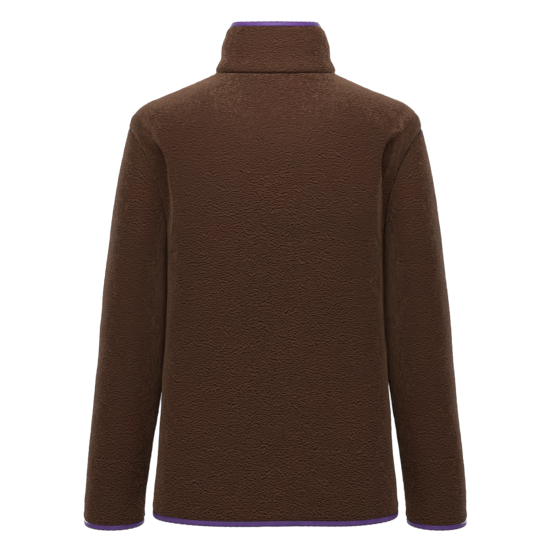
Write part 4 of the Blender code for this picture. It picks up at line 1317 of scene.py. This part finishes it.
def hard_material(name, tones, roughness, metallic, grain):
    """Moulded plastic or painted metal, a little uneven in tone and gloss."""
    material, tree, shader = new_material(name)
    place = add_node(tree, "TexCoord").outputs["Object"]
    height = noise(tree, place, grain, 4.0, 0.65)["Fac"]
    gloss = {"Value": height, "To Min": roughness - 0.08, "To Max": roughness + 0.12}
    coat(tree, shader, height, 0.2, 0.00005, {
        "Base Color": colour_ramp(tree, height, tones),
        "Roughness": add_node(tree, "MapRange", gloss).outputs[0],
        "Metallic": metallic,
    })
    return material


def give(piece, material):
    piece.data.materials.clear()
    piece.data.materials.append(material)


# ---------------------------------------------------------------- the jacket


SEAM_STEPS = 106
SLEEVE_ROUND, SLEEVE_DOWN = 177, 219
CUFF_STEPS, RIM_STEPS, HEM_STEPS = 106, 181, 91
COLLAR_ROUND, COLLAR_UP = 209, 30
SLEEVE_LONG = 0.5  # about how long a sleeve and the collar are along their grids
COLLAR_TALL = 0.075
NEAR_CUFF, NEAR_RIM, NEAR_HEM = 0.985, 0.93, 0.012  # rows beside the bound edges


def panel_columns():
    """Columns from the middle to the side, no more than GRID apart on the cloth at its waist and at its
    pleats, with one at the neck point."""
    fine = np.linspace(0, 1, FINE_STEPS + 1)
    rings = [panel_point(fine, np.full_like(fine, row), 1, -1) for row in COLUMN_ROWS]
    steps = [np.linalg.norm(np.diff(ring, axis=0), axis=1) for ring in rings]
    length = np.concatenate([[0], np.cumsum(np.max(steps, axis=0))])
    split = np.interp(NECK_SHARE, fine, length)
    lengths = np.array(spread([0.0, split, length[-1]], GRID))
    return tighten(np.interp(lengths, length, fine), lengths, "end")


def panel_rows():
    whole = SHOULDER_TIP - HEM_SIDE
    body = spread([0.0, underarm_row()], GRID / whole)
    seam = [float(seam_row(share)) for share in np.linspace(0, 1, SEAM_STEPS)]
    rows = np.array(body[:-1] + seam)
    return tighten(rows, rows * whole, "end")


def sew_body(pieces):
    half, rows = panel_columns(), panel_rows()
    whole = [-u for u in half[:0:-1]] + half
    edges = {"foot": "bound", "top": "seam", "first": "seam", "last": "hidden seam"}
    pieces["back"] = cut_cloth("back_panel", whole, rows, panel_shape(1, 0), edges)
    edges = {"foot": "bound", "top": "seam", "last": "seam"}
    for name, side in (("left", 1), ("right", -1)):
        shape = panel_shape(-1, side)
        pieces[f"front_{name}"] = cut_cloth(f"{name}_front_panel", half, rows, shape, edges, 0)


def sew_sleeves(pieces):
    round_arm = np.linspace(0, 1, SLEEVE_ROUND)
    down_arm = np.linspace(0, 1, SLEEVE_DOWN)
    down_arm = tighten(down_arm, down_arm * SLEEVE_LONG, "start")
    for name, side in (("left", 1), ("right", -1)):
        shape = sleeve_shape(side)
        edges = {"foot": "hidden seam" if side > 0 else "seam", "top": "bound"}
        sleeve = cut_cloth(f"{name}_sleeve", round_arm, down_arm, shape, edges, level="top")
        pieces[f"sleeve_{name}"] = sleeve
        lines = bound_lines(np.linspace(0, 1, CUFF_STEPS), 1.0, NEAR_CUFF, shape)
        pieces[f"cuff_binding_{name}"] = bind(f"{name}_cuff_binding", lines)


def sew_collar(pieces):
    end = math.pi - opening_turn()
    turns = np.linspace(-end, end, COLLAR_ROUND)
    rises = np.linspace(0, 1, COLLAR_UP)
    rises = tighten(rises, rises * COLLAR_TALL, "start")
    edges = {"foot": "seam", "top": "bound"}
    pieces["collar"] = cut_cloth("stand_collar", turns, rises, collar_shape, edges)
    lines = bound_lines(np.linspace(-end, end, RIM_STEPS), 1.0, NEAR_RIM, collar_shape)
    pieces["collar_binding"] = bind("collar_rim_binding", lines)


def sew_hem(pieces):
    """One binding round the hem, from the right front's opening over the back to the left front's."""
    half = np.linspace(0, 1, HEM_STEPS) ** 0.7
    parts = (
        (half[:-1], panel_shape(-1, -1)),
        (np.concatenate([-half[:0:-1], half]), panel_shape(1, 0)),
        (half[-2::-1], panel_shape(-1, 1)),
    )
    parts = [bound_lines(us, 0.0, NEAR_HEM, shape) for us, shape in parts]
    pieces["hem_binding"] = bind("hem_edge_binding", [np.concatenate(line) for line in zip(*parts)])


def fit_zip(pieces):
    pieces["zip_tape_left"] = zip_tape("left_zip_tape", 1)
    pieces["zip_tape_right"] = zip_tape("right_zip_tape", -1)
    pieces["zip_teeth"] = zip_chain()
    pieces["zip_slider"] = zip_slider()
    pieces["zip_pull"] = zip_pull()
    low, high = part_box("zip_box")
    pieces["zip_box"] = block("retaining_box", low, high, 0.0006, 3)
    shade_by_angle(pieces["zip_box"])


# The cloth pieces' flat sizes and their areas
CUTS = {
    "back": ((0.56, 0.67), 0.315),
    "front_left": ((0.28, 0.67), 0.153),
    "front_right": ((0.28, 0.67), 0.153),
    "sleeve_left": ((0.50, 0.60), 0.181),
    "sleeve_right": ((0.50, 0.60), 0.181),
    "collar": ((0.57, 0.080), 0.037),
}


def finish_pieces(pieces):
    """Gives each piece its material, puts it on the body that it rides on, and hides the part that it
    replaces.
    """
    fleece, binding, tape = fleece_material(), binding_material(), tape_material()
    teeth = hard_material("brown_teeth", TEETH_TONES, 0.38, 0.0, 900)
    metal = hard_material("brown_enamelled_metal", METAL_TONES, 0.32, 0.75, 700)
    for node, piece in pieces.items():
        body = "pull_tab" if node == "zip_pull" else "jacket"
        if node in CUTS:
            material, slot = fleece, "fleece"
        elif "binding" in node:
            material, slot = binding, "binding"
        elif node.startswith("zip_tape"):
            material, slot = tape, "zip_tape"
        elif node in ("zip_teeth", "zip_box"):
            material, slot = teeth, "zip_teeth"
        else:
            material, slot = metal, "zip_metal"
        give(piece, material)
        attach(piece, body)
        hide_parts(node)


# ---------------------------------------------------------------- the studio


CAMERA_PLACE = (0.00075, 2.5, -0.295)
VIEW_WIDTH = 0.825
SENSOR = 36.0
WHITE = (1.0, 1.0, 1.0, 1.0)
SOFT_WHITE = (1.0, 0.985, 0.97, 1.0)
PALE_GREY = (0.90, 0.90, 0.90, 1.0)
BACKDROP = 1.05
FLOOR_SIZE = 6.5
FLOOR_PLACE = (0, 0, -1.45)


def add_camera():
    camera_data = bpy.data.cameras.new("camera")
    camera_data.sensor_width = SENSOR
    camera_data.lens = SENSOR * CAMERA_PLACE[1] / VIEW_WIDTH
    camera = bpy.data.objects.new("camera", camera_data)
    camera.location = CAMERA_PLACE
    camera.rotation_euler = (math.radians(90), 0, math.radians(180))
    bpy.context.collection.objects.link(camera)
    bpy.context.scene.camera = camera


def add_light(name, place, aim, size, power, spread):
    data = bpy.data.lights.new(name, "AREA")
    data.shape = "RECTANGLE"
    data.size, data.size_y = size
    data.energy = power
    data.spread = math.radians(spread)
    light = bpy.data.objects.new(name, data)
    light.location = place
    light.rotation_euler = (Vector(aim) - Vector(place)).to_track_quat("-Z", "Y").to_euler()
    bpy.context.collection.objects.link(light)


def add_world():
    """White behind the jacket, and a softer light all round it."""
    world = bpy.data.worlds.new("studio")
    world.use_nodes = True
    tree = world.node_tree
    soft = tree.nodes["Background"]
    feed(tree, soft, {"Color": SOFT_WHITE, "Strength": AMBIENT})
    white = add_node(tree, "Background", {"Color": WHITE, "Strength": BACKDROP})
    seen = add_node(tree, "LightPath").outputs["Is Camera Ray"]
    mix = add_node(tree, "MixShader", {0: seen, 1: soft.outputs[0], 2: white.outputs[0]})
    feed(tree, tree.nodes["World Output"], {"Surface": mix.outputs[0]})
    bpy.context.scene.world = world


def add_studio():
    deselect_all()
    bpy.ops.mesh.primitive_plane_add(size=FLOOR_SIZE, location=FLOOR_PLACE)
    floor = bpy.context.object
    floor.name = "floor"
    material, tree, shader = new_material("pale_floor")
    feed(tree, shader, {"Base Color": PALE_GREY, "Roughness": 0.9})
    give(floor, material)
    add_world()
    bpy.context.scene.view_settings.view_transform = "Standard"
    for light in LIGHTS:
        add_light(**light)


def main():
    pieces = {}
    sew_body(pieces)
    sew_sleeves(pieces)
    sew_collar(pieces)
    sew_hem(pieces)
    fit_zip(pieces)
    finish_pieces(pieces)
    add_camera()
    add_studio()


main()
